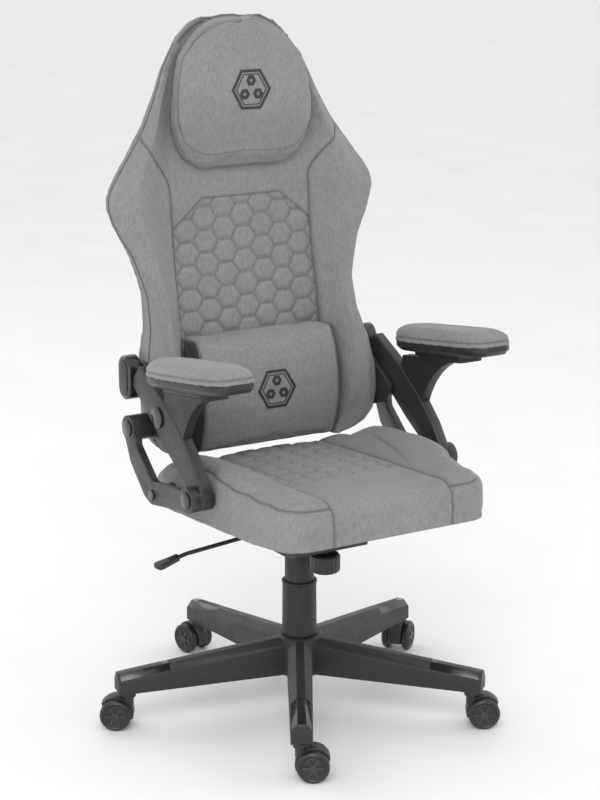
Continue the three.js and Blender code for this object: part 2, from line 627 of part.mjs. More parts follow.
// A level ring of foam between the backrest's front and the shell, over a row of places across it.
function foamRing(z, places) {
  const front = places.map((x) => [x, frontDepth(Math.abs(x) / backHalf(z), z), z]);
  const rear = places.map((x) => [x, splitDepth(Math.abs(x) / backHalf(z), z) - SOFT_GAP, z]);
  return [...front, ...rear.reverse()];
}

function acrossBack(z, depth) {
  const half = backHalf(z);
  const row = backAcross.map((u) => [u * half, depth(u, z), z]);
  const left = row.map(([x, y]) => [-x, y, z]).reverse();
  return [...row, [0, depth(0, z), z], ...left];
}

// The face between the foam and the padded shell behind it: nearly flat, and short of the shell's rear edge.
function splitDepth(u, z) {
  const edge = straight(backEdgeRear, z) - BACK_SHELL_EDGE;
  return edge + (straight(backSplit, z) - edge) * (1 - u * u);
}

function frontDepth(u, z) {
  const seam = backSeam(z) / backHalf(z);
  const centre = straight(backCentre, z);
  const edge = straight(backEdgeFront, z);
  if (u >= 1) return edge;
  if (u <= seam) return centre + BACK_CROWN * (u / seam) ** 2;
  const t = (u - seam) / (1 - seam);
  const crest = edge - 9 * Math.sin(Math.PI * t);
  const start = centre + BACK_CROWN;
  return start + (crest - start) * Math.min(1, Math.sin(t * Math.PI * 0.62) * 1.05);
}

function rearDepth(u, z) {
  const edge = straight(backEdgeRear, z);
  return edge + (straight(backRear, z) - edge) * (1 - u ** 4);
}

function addBack() {
  const panelAcross = [1, 0.6, 0.2, -0.2, -0.6, -1];
  place('back_panel', 'fabric', loft(backSteps.map((z) => {
    const reach = backSeam(z) - SOFT_GAP / 2;
    return foamRing(z, panelAcross.map((u) => u * reach));
  })));
  const bolsterAcross = [1, 0.85, 0.65, 0.4, 0.18, 0];
  placeBoth('back_bolster', 'fabric', loft(backSteps.map((z) => {
    const inner = backSeam(z) + SOFT_GAP / 2;
    return foamRing(z, bolsterAcross.map((u) => inner + u * (backHalf(z) - inner)));
  })));
  const shell = loft(backSteps.map((z) => [
    ...acrossBack(z, splitDepth), ...acrossBack(z, rearDepth).reverse()]));
  place('back_shell', 'fabric', shell);
}

// A level ring with rounded sides between two depths.
function pillowRing(half, front, back, z) {
  const middle = (front + back) / 2;
  const depth = (back - front) / 2;
  return Array.from({ length: 18 }, (_, i) => {
    const angle = i * Math.PI / 9;
    const [c, s] = [Math.cos(angle), Math.sin(angle)];
    const x = half * Math.sign(c) * Math.abs(c) ** 0.75;
    return [x, middle + depth * Math.sign(s) * Math.abs(s) ** 0.6, z];
  });
}

function addPillows() {
  const { bottom, top, front, halfWidth } = HEAD_PILLOW;
  const height = top - bottom;
  const outlineHalf = [[0, 0.6], [0.05, 0.78], [0.14, 0.93], [0.34, 1], [0.58, 0.95], [0.76, 0.86], [0.9, 0.64],
    [0.97, 0.46], [1, 0.3]];
  const steps = [0, 0.03, 0.09, 0.2, 0.34, 0.48, 0.62, 0.76, 0.88, 0.95, 1];
  const head = loft(steps.map((t) => {
    const z = bottom + t * height;
    const back = straight(backCentre, z) - 4;
    const puff = Math.sqrt(Math.sin(Math.PI * (0.06 + 0.88 * t)));
    return pillowRing(halfWidth * straight(outlineHalf, t), back - (back - front) * puff, back, z);
  }));
  place('head_pillow', 'fabric', head);
  const lumbar = LUMBAR_PILLOW;
  const rise = lumbar.top - lumbar.bottom;
  const levels = [0, 0.04, 0.12, 0.25, 0.42, 0.6, 0.78, 0.9, 0.97, 1];
  place('lumbar_pillow', 'fabric', loft(levels.map((t) => {
    const z = lumbar.bottom + t * rise;
    const puff = Math.sqrt(Math.sin(Math.PI * (0.08 + 0.84 * t)));
    const back = lumbar.back - 3 + (straight(backCentre, z) - straight(backCentre, lumbar.bottom)) * 0.8;
    const depth = (back - lumbar.front) * (0.35 + 0.65 * puff);
    const half = lumbar.halfWidth * (0.94 + 0.06 * puff);
    return pillowRing(half, back - depth, back - 4 * (1 - puff), z);
  })));
}

// ---------------------------------------------------------------- side linkage
// The seat bracket runs from the recline pivot down to the corner bolt and forward to the arm's pivot.
function addBracket() {
  const [ry, rz] = HINGE_REAR;
  const [fy, fz] = HINGE_FRONT;
  const [cy, cz] = BRACKET_CORNER;
  const shape = outline([[ry + 21, rz - 10, 6], [ry - 4, rz - 62, 30], [cy + 28, cz - 10, 26], [cy + 4, cz - 19, 14],
    [fy, fz - 22, 6], [fy, fz + 14, 6], [cy - 2, cz + 24, 20], [ry - 26, rz - 26, 8], [ry - 20, rz + 8, 6]]);
  const inner = bracketInner;
  const limbs = plate(shape, inner, bracketOuter, 1.5);
  const rearBoss = rod(BOSS_RADIUS, armInner - RUN + GAP * 2, bracketOuter + 1.5, X_AXIS, [0, ry, rz]);
  const frontBoss = rod(BOSS_RADIUS, inner, bracketOuter + 1.5, X_AXIS, [0, fy, fz]);
  const foot = rod(16, SEAT_HALF_WIDTH + 1, inner + 2, X_AXIS, [0, cy, cz], 20);
  const bores = [HINGE_REAR, HINGE_FRONT].map((at) => sideBore(PIN_RADIUS, at));
  const boltHole = sideBore(BOLT_RADIUS, BRACKET_CORNER, 16);
  placeBoth('seat_bracket', 'plastic', cut(joined(limbs, rearBoss, frontBoss, foot), ...bores, boltHole));
}

// The cutter for a hole that passes through everything at the chair's side.
function sideBore(radius, at, sides = 20) {
  return rod(radius + GAP, PLATE_INNER - THROUGH, bracketOuter + THROUGH, X_AXIS, [0, ...at], sides);
}

function addPins() {
  const head = bracketOuter + 1.5 + GAP;
  for (const [name, at, inner] of [['recline_pin', HINGE_REAR, PLATE_INNER + 1],
    ['arm_pin', HINGE_FRONT, SEAT_HALF_WIDTH + 1.5]]) {
    const shank = rod(PIN_RADIUS, inner, head + 1, X_AXIS, [0, ...at], 20);
    const cap = rod(BOSS_RADIUS - 8, head, head + PIN_HEAD, X_AXIS, [0, ...at], 20);
    placeBoth(name, 'gloss', joined(shank, cap));
  }
  const bolt = rod(BOLT_RADIUS, SEAT_HALF_WIDTH + 1.5, bracketOuter + 1, X_AXIS, [0, ...BRACKET_CORNER], 16);
  const boltHead = rod(9, bracketOuter + GAP, bracketOuter + PIN_HEAD, X_AXIS, [0, ...BRACKET_CORNER], 16);
  placeBoth('corner_bolt', 'steel', joined(bolt, boltHead));
}

// The hinge plate is screwed to the backrest's side; it carries the recline pivot and the link housing.
function addHingePlate() {
  const [ry, rz] = HINGE_REAR;
  const [ly, lz] = LINK_CENTRE;
  const shape = outline([[ry + 22, rz - 8, 14], [ry + 12, rz - 22, 14], [ry - 14, rz - 21, 12], [ry - 66, rz - 6, 18],
    [ry - 88, rz + 28, 20], [ly - 50, lz - 10, 14], [ly - 32, lz + 28, 12], [ly + 10, lz + 30, 14],
    [ly + 14, lz - 24, 14], [ly - 30, lz - 22, 10], [ry - 30, rz + 32, 16], [ry - 8, rz + 22, 12],
    [ry + 18, rz + 16, 14]]);
  const blank = plate(shape, PLATE_INNER, PLATE_INNER + HINGE_PLATE_THICK, 1);
  placeBoth('hinge_plate', 'plastic', cut(blank, sideBore(PIN_RADIUS, HINGE_REAR)));
}

// Carries a point of the arm, [Y, Z], into the backrest's frame when the backrest leans back by an angle.
function armSeenFromBack([y, z], recline) {
  const about = ([py, pz], [cy, cz], angle) => {
    const [c, s] = [Math.cos(angle), Math.sin(angle)];
    return [cy + (py - cy) * c + (pz - cz) * s, cz - (py - cy) * s + (pz - cz) * c];
  };
  const turned = about([y, z], HINGE_FRONT, radians(recline * ARM_RATIO));
  return about(turned, HINGE_REAR, radians(-recline));
}

// The arm's pin runs in this housing: the slot is swept by the pin and the arm's tongue as the back reclines.
function addLinkHousing() {
  const inner = PLATE_INNER + HINGE_PLATE_THICK + GAP;
  const outer = inner + LINK_SIZE[2];
  const blank = plate(stadium(LINK_CENTRE, LINK_SIZE[0], LINK_SIZE[1]), inner, outer, 2.5, 7);
  const middle = (armInner + armOuter) / 2;
  let slot = null;
  const steps = 5;
  for (let i = 0; i <= steps; i += 1) {
    const recline = RECLINE * i / steps;
    const pin = armSeenFromBack(LINK_PIN, recline);
    const root = armSeenFromBack([LINK_PIN[0] - 64, LINK_PIN[1] - 24], recline);
    const bar = tongueBar(pin, root, LINK_PIN_RADIUS + 4 + RUN, middle, TONGUE_THICK + 2 * RUN);
    const race = rod(LINK_PIN_RADIUS + LINK_PIN_CLEAR, middle - 9, middle + 9, X_AXIS, [0, ...pin], 8);
    slot = slot ? joined(slot, bar, race) : joined(bar, race);
  }
  placeBoth('link_housing', 'gloss', cut(blank, slot));
  const insert = plate(stadium(LINK_CENTRE, LINK_SIZE[0] - 15, LINK_SIZE[1] - 15), outer + GAP, outer + 1.6, 0.4, 6);
  placeBoth('link_insert', 'plastic', insert);
}

// A bar with a round end at the pin, reaching to the root point.
function tongueBar(pin, root, radius, middle, thick) {
  const along = new THREE.Vector2(root[0] - pin[0], root[1] - pin[1]);
  const start = along.angle() + Math.PI / 2;
  const shape = new THREE.Shape();
  shape.absarc(pin[0], pin[1], radius, start, start + Math.PI, false);
  shape.lineTo(root[0] + radius * Math.cos(start + Math.PI), root[1] + radius * Math.sin(start + Math.PI));
  shape.lineTo(root[0] + radius * Math.cos(start), root[1] + radius * Math.sin(start));
  shape.closePath();
  return plate(shape, middle - thick / 2, middle + thick / 2, 0, 4);
}

function armBlade() {
  const [fy, fz] = HINGE_FRONT;
  const [ly, lz] = LINK_CENTRE;
  const rear = ly - LINK_SIZE[0] / 2 - 1.5;
  const shape = outline([[fy + 16, fz + 6, 4], [14, 512, 60], [64, 549, 30], [rear, lz - 10, 6], [rear - 4, lz + 8, 4],
    [rear - 26, lz + 31, 5], [rear - 56, lz + 16, 40], [32, 604, 60], [-28, 562, 60], [-72, 520, 60],
    [fy - 20, fz + 24, 30], [fy - 19, fz - 2, 6]]);
  return plate(shape, armInner, armOuter, 2);
}

// The armrest's long curved arm, with the knuckle on its lower pivot and the tongue at its top.
function addArm() {
  const knuckle = rod(BOSS_RADIUS - 1, SEAT_HALF_WIDTH + 1.6, armOuter + RUN - GAP, X_AXIS, [0, ...HINGE_FRONT]);
  const middle = (armInner + armOuter) / 2;
  const tongue = tongueBar(LINK_PIN, [LINK_PIN[0] - 56, LINK_PIN[1] - 21], LINK_PIN_RADIUS + 4, middle, TONGUE_THICK);
  const pin = rod(LINK_PIN_RADIUS, middle - 8, middle + 8, X_AXIS, [0, ...LINK_PIN], 8);
  const arm = joined(armBlade(), knuckle, tongue, pin);
  placeBoth('arm', 'plastic', cut(arm, sideBore(PIN_RADIUS, HINGE_FRONT)));
  placeBoth('arm_cap', 'gloss', rod(CAP_RADIUS, armOuter + GAP, armOuter + CAP_HEIGHT, X_AXIS, [0, ...CAP_CENTRE], 24));
}

// ---------------------------------------------------------------- armrest pads
// Pad pieces are drawn level under the cushion's seam, with the rear end at the origin, and tipped with this matrix.
const padPose = new THREE.Matrix4().makeRotationX(radians(-PAD_ANGLE)).setPosition(PAD_X, PAD_REAR, PAD_SEAM);
const padLength = PAD_REAR - PAD_FRONT;

// Half the pad's width at a distance from its rear end.
function padHalf(distance, grow = 0) {
  const t = distance / padLength;
  const rear = Math.sqrt(Math.max(0, 1 - (1 - Math.min(t / 0.3, 1)) ** 2));
  const front = Math.max(0, 1 - Math.max(0, (t - 0.72) / 0.28) ** 2.4);
  return (PAD_HALF_WIDTH + grow) * rear * (0.45 + 0.55 * Math.sqrt(front));
}

function padLayer(bottom, top, inset, from = 0, to = 1) {
  const steps = [0.004, 0.03, 0.08, 0.16, 0.3, 0.5, 0.7, 0.82, 0.91, 0.97, 1];
  const right = steps.map((t) => {
    const at = from + (to - from) * t;
    return [Math.max(padHalf(at * padLength) - inset, 1), -at * padLength];
  });
  const ring = [...right, ...right.map(([x, y]) => [-x, y]).reverse()];
  return [bottom, top].map((z) => ring.map(([x, y]) => [x, y, z]));
}

function addPads() {
  const seam = padLayer(GAP, PAD_CROWN * 0.35, 0);
  const upper = padLayer(PAD_CROWN * 0.75, PAD_CROWN, 7, 0.02, 0.985);
  const crown = upper[1].map(([x, y, z]) => [x * 0.72, y * 0.86 - padLength * 0.07, z]);
  const cushion = loft([...seam, upper[0], crown]);
  placeBoth('pad_cushion', 'fabric', moved(cushion, padPose));
  const rim = padLayer(-TRAY_THICK * 0.55, 0, 1.2);
  const floor = padLayer(-TRAY_THICK, 0, 9, 0.04, 0.96)[0];
  placeBoth('pad_tray', 'plastic', moved(loft([floor, ...rim]), padPose));
  const middle = -0.5 * padLength;
  const swivelTop = -TRAY_THICK - GAP;
  const swivel = padSlab(58, 150, middle, swivelTop - SWIVEL_THICK, swivelTop, 14);
  placeBoth('pad_swivel', 'plastic', moved(swivel, padPose));
}

// A level slab with rounded corners, centred across the pad.
function padSlab(width, length, middle, bottom, top, radius) {
  const [w, l] = [width / 2, length / 2];
  const shape = outline([[-w, middle - l, radius], [w, middle - l, radius], [w, middle + l, radius],
    [-w, middle + l, radius]]);
  const geometry = new THREE.ExtrudeGeometry(shape, { depth: top - bottom, bevelEnabled: false, curveSegments: 4 });
  geometry.translate(0, 0, bottom);
  return solid(geometry);
}

// The gusset stands on the arm's front edge and spreads into the flange under the pad.
function addGusset() {
  const flangeTop = -TRAY_THICK - SWIVEL_THICK - 2 * GAP;
  const slab = padSlab(FLANGE_WIDTH, FLANGE_LENGTH, -0.5 * padLength, flangeTop - FLANGE_THICK, flangeTop, 12);
  const slope = Math.tan(radians(PAD_ANGLE));
  const under = (y) => [y, PAD_SEAM + flangeTop - FLANGE_THICK + 3 + (PAD_REAR - y) * slope];
  const shape = new THREE.Shape();
  shape.moveTo(...GUSSET_ROOT[0]);
  shape.lineTo(...under(GUSSET_ROOT[0][0] - 8));
  shape.lineTo(...under(GUSSET_NOSE));
  shape.quadraticCurveTo(-62, 624, ...GUSSET_ROOT[1]);
  shape.closePath();
  const web = plate(shape, armInner + 1, armOuter - 1, 0, 6);
  const arm = armBlade();
  const standOff = [0, -0.6 * GAP, 0.8 * GAP];
  const clear = joined(arm, arm.translate(standOff));
  placeBoth('arm_gusset', 'plastic', cut(joined(moved(slab, padPose), web), clear));
}

addBase();
addCasters();
addColumn();
addMechanism();
addKnob();
addLever();
addSeat();
addBack();
addPillows();
addBracket();
addPins();
addHingePlate();
addLinkHousing();
addArm();
addPads();
addGusset();

const bounds = new THREE.Box3().setFromObject(chair);
const centre = bounds.getCenter(new THREE.Vector3());
chair.position.set(-centre.x, -centre.y, 0);
chair.updateMatrixWorld(true);

export default chair;
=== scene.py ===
import json
import math

import bmesh
import bpy
import numpy as np
from mathutils import Matrix, Vector
from mathutils.bvhtree import BVHTree


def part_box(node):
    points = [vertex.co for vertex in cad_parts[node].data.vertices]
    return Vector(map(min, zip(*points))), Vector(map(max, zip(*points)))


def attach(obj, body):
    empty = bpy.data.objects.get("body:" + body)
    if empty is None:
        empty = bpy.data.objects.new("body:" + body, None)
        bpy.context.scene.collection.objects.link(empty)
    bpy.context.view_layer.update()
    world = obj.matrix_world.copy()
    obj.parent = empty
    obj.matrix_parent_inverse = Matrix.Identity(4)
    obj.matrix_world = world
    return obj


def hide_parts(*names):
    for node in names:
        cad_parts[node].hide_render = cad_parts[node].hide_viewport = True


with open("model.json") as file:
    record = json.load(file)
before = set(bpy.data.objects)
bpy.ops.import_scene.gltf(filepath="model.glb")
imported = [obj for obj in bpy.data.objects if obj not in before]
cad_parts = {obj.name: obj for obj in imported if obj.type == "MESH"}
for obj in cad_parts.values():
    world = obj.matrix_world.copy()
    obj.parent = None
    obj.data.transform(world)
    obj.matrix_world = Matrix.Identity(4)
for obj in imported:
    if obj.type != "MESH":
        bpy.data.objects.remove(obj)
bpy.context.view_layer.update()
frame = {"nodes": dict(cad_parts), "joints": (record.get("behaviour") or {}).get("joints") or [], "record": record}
nodes = frame["nodes"]
mm = 0.001


def middleOf(node):
    low, high = (Vector(corner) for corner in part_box(node))
    return (low + high) / 2


# The gas lift's axis, from which every drawn size is measured.
axis = middleOf("gas_piston")


def place(x, y, z):
    return Vector((axis.x + x * mm, axis.y + y * mm, z * mm))


def jointNamed(name):
    return next(joint for joint in frame["joints"] if joint["name"] == name)


# ------------ camera and studio
cameraView = {"from": (-1910.6, -3132.2, 1538.9), "pitch": 16.5, "turn": -31.4, "lens": 96.26,
    "shiftUp": 0.086}
studio = {
    "floor": 24.0,
    "key": {"from": (-1.9, -2.6, 3.1), "size": 2.4, "power": 62},
    "side": {"from": (3.1, -1.2, 2.0), "size": 2.2, "power": 16},
    "back": {"from": (-1.2, 3.0, 2.4), "size": 1.8, "power": 16},
    "low": {"from": (-2.9, -1.0, 0.5), "size": 1.4, "power": 5},
    "sky": 0.94,
}


def addCamera():
    data = bpy.data.cameras.new("camera")
    data.lens = cameraView["lens"]
    data.shift_y = cameraView["shiftUp"]
    camera = bpy.data.objects.new("camera", data)
    camera.location = place(*cameraView["from"])
    camera.rotation_euler = (math.radians(90 - cameraView["pitch"]), 0, math.radians(cameraView["turn"]))
    bpy.context.scene.collection.objects.link(camera)
    bpy.context.scene.camera = camera


def addLight(name, spec):
    data = bpy.data.lights.new(name, "AREA")
    data.shape = "DISK"
    data.size = spec["size"]
    data.energy = spec["power"]
    light = bpy.data.objects.new(name, data)
    light.location = spec["from"]
    aim = Vector((0, 0, 0.6)) - light.location
    light.rotation_euler = aim.to_track_quat("-Z", "Y").to_euler()
    bpy.context.scene.collection.objects.link(light)


def addStudio():
    half = studio["floor"]
    mesh = bpy.data.meshes.new("floor")
    corners = [(-half, -half, 0), (half, -half, 0), (half, half, 0), (-half, half, 0)]
    mesh.from_pydata(corners, [], [(0, 1, 2, 3)])
    floor = bpy.data.objects.new("floor", mesh)
    bpy.context.scene.collection.objects.link(floor)
    floor.data.materials.append(paleFloor())
    for name in ("key", "side", "back", "low"):
        addLight(name, studio[name])
    world = bpy.data.worlds.new("studio")
    world.use_nodes = True
    background = world.node_tree.nodes["Background"]
    background.inputs["Color"].default_value = (1, 1, 1, 1)
    background.inputs["Strength"].default_value = studio["sky"]
    bpy.context.scene.world = world
    bpy.context.scene.view_settings.view_transform = "Standard"


# ------------ materials
def newMaterial(name, color, roughness):
    material = bpy.data.materials.new(name)
    material.use_nodes = True
    shader = material.node_tree.nodes["Principled BSDF"]
    shader.inputs["Base Color"].default_value = (*color, 1)
    shader.inputs["Roughness"].default_value = roughness
    material.diffuse_color = (*color, 1)
    return material, material.node_tree, shader


def node(tree, kind, **settings):
    made = tree.nodes.new(kind)
    for name, value in settings.items():
        setattr(made, name, value)
    return made


def objectCoordinates(tree):
    return node(tree, "ShaderNodeTexCoord").outputs["Object"]


def noise(tree, scale, detail=2.0, roughness=0.5, stretch=(1, 1, 1)):
    mapping = node(tree, "ShaderNodeMapping")
    mapping.inputs["Scale"].default_value = stretch
    tree.links.new(objectCoordinates(tree), mapping.inputs["Vector"])
    made = node(tree, "ShaderNodeTexNoise")
    made.inputs["Scale"].default_value = scale
    made.inputs["Detail"].default_value = detail
    made.inputs["Roughness"].default_value = roughness
    tree.links.new(mapping.outputs["Vector"], made.inputs["Vector"])
    return made.outputs["Fac"]


def ramp(tree, source, stops):
    made = node(tree, "ShaderNodeValToRGB")
    elements = made.color_ramp.elements
    for i, (position, shade) in enumerate(stops):
        element = elements[i] if i < 2 else elements.new(position)
        element.position = position
        color = shade if isinstance(shade, tuple) else (shade, shade, shade)
        element.color = (*color, 1)
    tree.links.new(source, made.inputs["Fac"])
    return made.outputs["Color"]


def mixed(tree, blend, factor, first, second):
    made = node(tree, "ShaderNodeMix", data_type="RGBA", blend_type=blend)
    for socket, value in ((made.inputs[0], factor), (made.inputs[6], first), (made.inputs[7], second)):
        if isinstance(value, bpy.types.NodeSocket):
            tree.links.new(value, socket)
        else:
            socket.default_value = value
    return made.outputs[2]


def math2(tree, operation, first, second):
    made = node(tree, "ShaderNodeMath", operation=operation)
    for socket, value in zip(made.inputs, (first, second)):
        if isinstance(value, bpy.types.NodeSocket):
            tree.links.new(value, socket)
        else:
            socket.default_value = value
    return made.outputs[0]


def bump(tree, height, distance, strength=1.0, under=None):
    made = node(tree, "ShaderNodeBump")
    made.inputs["Strength"].default_value = strength
    made.inputs["Distance"].default_value = distance
    tree.links.new(height, made.inputs["Height"])
    if under:
        tree.links.new(under, made.inputs["Normal"])
    return made.outputs["Normal"]


# Woven cloth: threads along all three axes, a heather of lighter and darker yarns, a soft uneven tone,
# and painted shade: a darker line wherever the sewn attribute marks a seam or a quilted channel.
def wovenCloth(name, spec):
    material, tree, shader = newMaterial(name, spec["color"], 0.92)
    yarn = ramp(tree, noise(tree, spec["yarnScale"], 3, 0.7), [(0.3, spec["dark"]), (0.7, spec["light"])])
    slubs = noise(tree, spec["yarnScale"] * 0.38, 2, 0.6, (1, 1, 0.35))
    flecks = ramp(tree, slubs, [(0.36, 0.9), (0.64, 1.07)])
    cloud = ramp(tree, noise(tree, 7, 2), [(0.35, 0.95), (0.65, 1.04)])
    color = mixed(tree, "MULTIPLY", 1.0, yarn, flecks)
    color = mixed(tree, "MULTIPLY", 1.0, color, cloud)
    # The sewn attribute carries painted shade: the shadow in seam and quilting grooves, darkened into the colour.
    sewn = node(tree, "ShaderNodeAttribute", attribute_name="sewn").outputs["Fac"]
    shade = tuple(channel * spec["seamShade"] for channel in spec["color"])
    color = mixed(tree, "MIX", sewn, color, (*shade, 1))
    tree.links.new(color, shader.inputs["Base Color"])
    height = None
    for direction in ("X", "Y", "Z"):
        wave = node(tree, "ShaderNodeTexWave", wave_type="BANDS", bands_direction=direction)
        wave.inputs["Scale"].default_value = spec["threadScale"]
        wave.inputs["Distortion"].default_value = 0.6
        wave.inputs["Detail"].default_value = 1
        tree.links.new(objectCoordinates(tree), wave.inputs["Vector"])
        height = wave.outputs["Fac"] if height is None else math2(tree, "ADD", height, wave.outputs["Fac"])
    threads = bump(tree, height, 0.00022, 0.5)
    folds = bump(tree, noise(tree, 26, 2), 0.0011, 0.35, threads)
    tree.links.new(folds, shader.inputs["Normal"])
    rough = ramp(tree, noise(tree, spec["yarnScale"] * 0.5), [(0.3, 0.84), (0.7, 0.98)])
    tree.links.new(rough, shader.inputs["Roughness"])
    shader.inputs["Sheen Weight"].default_value = spec["sheen"]
    shader.inputs["Sheen Roughness"].default_value = 0.45
    shader.inputs["Specular IOR Level"].default_value = 0.2
    return material


# Moulded plastic: spark-eroded grain, faint flow marks, rubbed patches and fine scratches.
def mouldedPlastic(name, spec):
    material, tree, shader = newMaterial(name, spec["color"], spec["roughness"])
    low, high = (tuple(channel * share for channel in spec["color"]) for share in (0.86, 1.18))
    shade = ramp(tree, noise(tree, 9, 3, 0.6), [(0.3, low), (0.7, high)])
    tree.links.new(shade, shader.inputs["Base Color"])
    base = spec["roughness"]
    patches = ramp(tree, noise(tree, 34, 4, 0.65), [(0.35, base - 0.07), (0.7, base + 0.07)])
    scratches = ramp(tree, noise(tree, 240, 2, 0.5, (1, 1, 0.04)), [(0.62, 0.0), (0.7, 0.12)])
    rough = mixed(tree, "SUBTRACT", 1.0, patches, scratches)
    tree.links.new(rough, shader.inputs["Roughness"])
    grain = bump(tree, noise(tree, spec["grain"], 2), 0.0002, spec["depth"])
    tree.links.new(grain, shader.inputs["Normal"])
    shader.inputs["Specular IOR Level"].default_value = spec["specular"]
    shader.inputs["Coat Weight"].default_value = spec.get("coat", 0)
    shader.inputs["Coat Roughness"].default_value = 0.12
    return material


def metal(name, spec):
    material, tree, shader = newMaterial(name, spec["color"], spec["roughness"])
    shader.inputs["Metallic"].default_value = spec["metallic"]
    base = spec["roughness"]
    rough = ramp(tree, noise(tree, 60, 4, 0.6, spec["brushed"]), [(0.3, base - 0.06), (0.7, base + 0.1)])
    tree.links.new(rough, shader.inputs["Roughness"])
    texture = bump(tree, noise(tree, spec["grain"], 2, 0.5, spec["brushed"]), 0.0002, spec["depth"])
    tree.links.new(texture, shader.inputs["Normal"])
    return material


# Plywood stained black.
def plywood(name):
    material, tree, shader = newMaterial(name, (0.04, 0.035, 0.03), 0.7)
    grain = noise(tree, 40, 5, 0.6, (1, 0.06, 8))
    stops = [(0.3, (0.026, 0.022, 0.019)), (0.55, (0.04, 0.035, 0.03)), (0.75, (0.055, 0.048, 0.041))]
    tree.links.new(ramp(tree, grain, stops), shader.inputs["Base Color"])
    tree.links.new(bump(tree, grain, 0.0004, 0.4), shader.inputs["Normal"])
    return material


# Embroidery and sewing thread: a twisted strand with a soft gloss.
def thread(name, color, roughness):
    material, tree, shader = newMaterial(name, color, roughness)
    wave = node(tree, "ShaderNodeTexWave", wave_type="BANDS", bands_direction="DIAGONAL")
    wave.inputs["Scale"].default_value = 420
    wave.inputs["Distortion"].default_value = 0.4
    tree.links.new(objectCoordinates(tree), wave.inputs["Vector"])
    tree.links.new(bump(tree, wave.outputs["Fac"], 0.0003, 0.6), shader.inputs["Normal"])
    low, high = (tuple(channel * share for channel in color) for share in (0.7, 1.35))
    tree.links.new(ramp(tree, noise(tree, 500), [(0.3, low), (0.7, high)]), shader.inputs["Base Color"])
    shader.inputs["Sheen Weight"].default_value = 0.15
    return material


def paleFloor():
    material, tree, shader = newMaterial("paleFloor", (0.86, 0.86, 0.86), 0.6)
    tint = ramp(tree, noise(tree, 3, 3), [(0.3, 0.85), (0.7, 0.88)])
    tree.links.new(tint, shader.inputs["Base Color"])
    return material


looks = {
    "greyCloth": wovenCloth("greyCloth", {"color": (0.232, 0.231, 0.229), "dark": (0.194, 0.193, 0.191),
        "light": (0.272, 0.271, 0.269), "yarnScale": 620, "threadScale": 260, "seamShade": 0.3,
        "sheen": 0.18}),
    "darkCloth": wovenCloth("darkCloth", {"color": (0.035, 0.035, 0.037), "dark": (0.025, 0.025, 0.027),
        "light": (0.05, 0.05, 0.052), "yarnScale": 620, "threadScale": 260, "seamShade": 0.4, "sheen": 0.2}),
    "piping": thread("piping", (0.12, 0.12, 0.118), 0.8),
    "greyThread": thread("greyThread", (0.13, 0.13, 0.127), 0.6),
    "blackThread": thread("blackThread", (0.014, 0.014, 0.016), 0.5),
    "framePlastic": mouldedPlastic("framePlastic", {"color": (0.022, 0.022, 0.0238), "roughness": 0.5,
        "grain": 900, "depth": 0.35, "specular": 0.45}),
    "armPlastic": mouldedPlastic("armPlastic", {"color": (0.024, 0.0248, 0.0262), "roughness": 0.4,
        "grain": 900, "depth": 0.22, "specular": 0.55}),
    "blackPlastic": mouldedPlastic("blackPlastic", {"color": (0.017, 0.017, 0.018), "roughness": 0.4,
        "grain": 1100, "depth": 0.25, "specular": 0.5}),
    "glossPlastic": mouldedPlastic("glossPlastic", {"color": (0.014, 0.0145, 0.016), "roughness": 0.22,
        "grain": 700, "depth": 0.08, "specular": 0.5, "coat": 0.35}),
    "wheelPlastic": mouldedPlastic("wheelPlastic", {"color": (0.030, 0.030, 0.032), "roughness": 0.38,
        "grain": 1200, "depth": 0.18, "specular": 0.5}),
    "blackSteel": metal("blackSteel", {"color": (0.035, 0.035, 0.037), "roughness": 0.42, "metallic": 0.35,
        "grain": 800, "depth": 0.3, "brushed": (1, 1, 1)}),
    "chrome": metal("chrome", {"color": (0.62, 0.62, 0.64), "roughness": 0.14, "metallic": 1.0, "grain": 400,
        "depth": 0.05, "brushed": (1, 1, 0.05)}),
    "boltSteel": metal("boltSteel", {"color": (0.16, 0.16, 0.165), "roughness": 0.3, "metallic": 0.9,
        "grain": 500, "depth": 0.12, "brushed": (1, 1, 1)}),
    "plywood": plywood("plywood"),
}

# Which finish each moulded or steel node takes; the rest follow the record's slot.
slotLooks = {"plastic": "framePlastic", "gloss_plastic": "glossPlastic", "fabric": "greyCloth",
    "steel": "blackSteel", "chrome": "chrome", "wood": "plywood"}
nodeLooks = {"caster_wheels": "blackPlastic", "caster_body": "blackPlastic", "arm_left": "armPlastic",
    "arm_right": "armPlastic", "seat_bracket": "armPlastic", "hinge_plate": "armPlastic",
    "pad_tray": "blackPlastic", "pad_swivel": "blackPlastic", "tension_knob": "blackPlastic",
    "lever_paddle": "blackPlastic", "arm_pin": "glossPlastic", "corner_bolt": "boltSteel",
    "link_insert": "blackPlastic"}
softNodes = ["seat_cushion", "back_panel", "back_bolster_left", "back_bolster_right", "back_shell",
    "head_pillow", "lumbar_pillow", "pad_cushion_left", "pad_cushion_right"]


# ------------ moulded and steel parts: the CAD's own solids with rounded edges
edgeRadii = {"star_base": 2.2, "foot_grip": 0.7, "caster_body": 1.2, "caster_wheels": 0.9,
    "seat_bracket": 1.6, "hinge_plate": 1.2, "arm_left": 1.8, "arm_right": 1.8, "arm_gusset": 1.6,
    "link_housing": 1.1,
    "link_insert": 0.8, "arm_cap": 0.9, "recline_pin": 1.0, "arm_pin": 1.0, "corner_bolt": 0.8,
    "pad_tray": 2.0, "pad_swivel": 1.0, "mechanism": 1.5, "tension_knob": 0.6, "lower_sleeve": 0.8,
    "upper_sleeve": 0.6, "lever_paddle": 1.6, "seat_plate": 0.6}


def startingWith(table, name, default):
    return next((table[key] for key in table if name.startswith(key)), default)


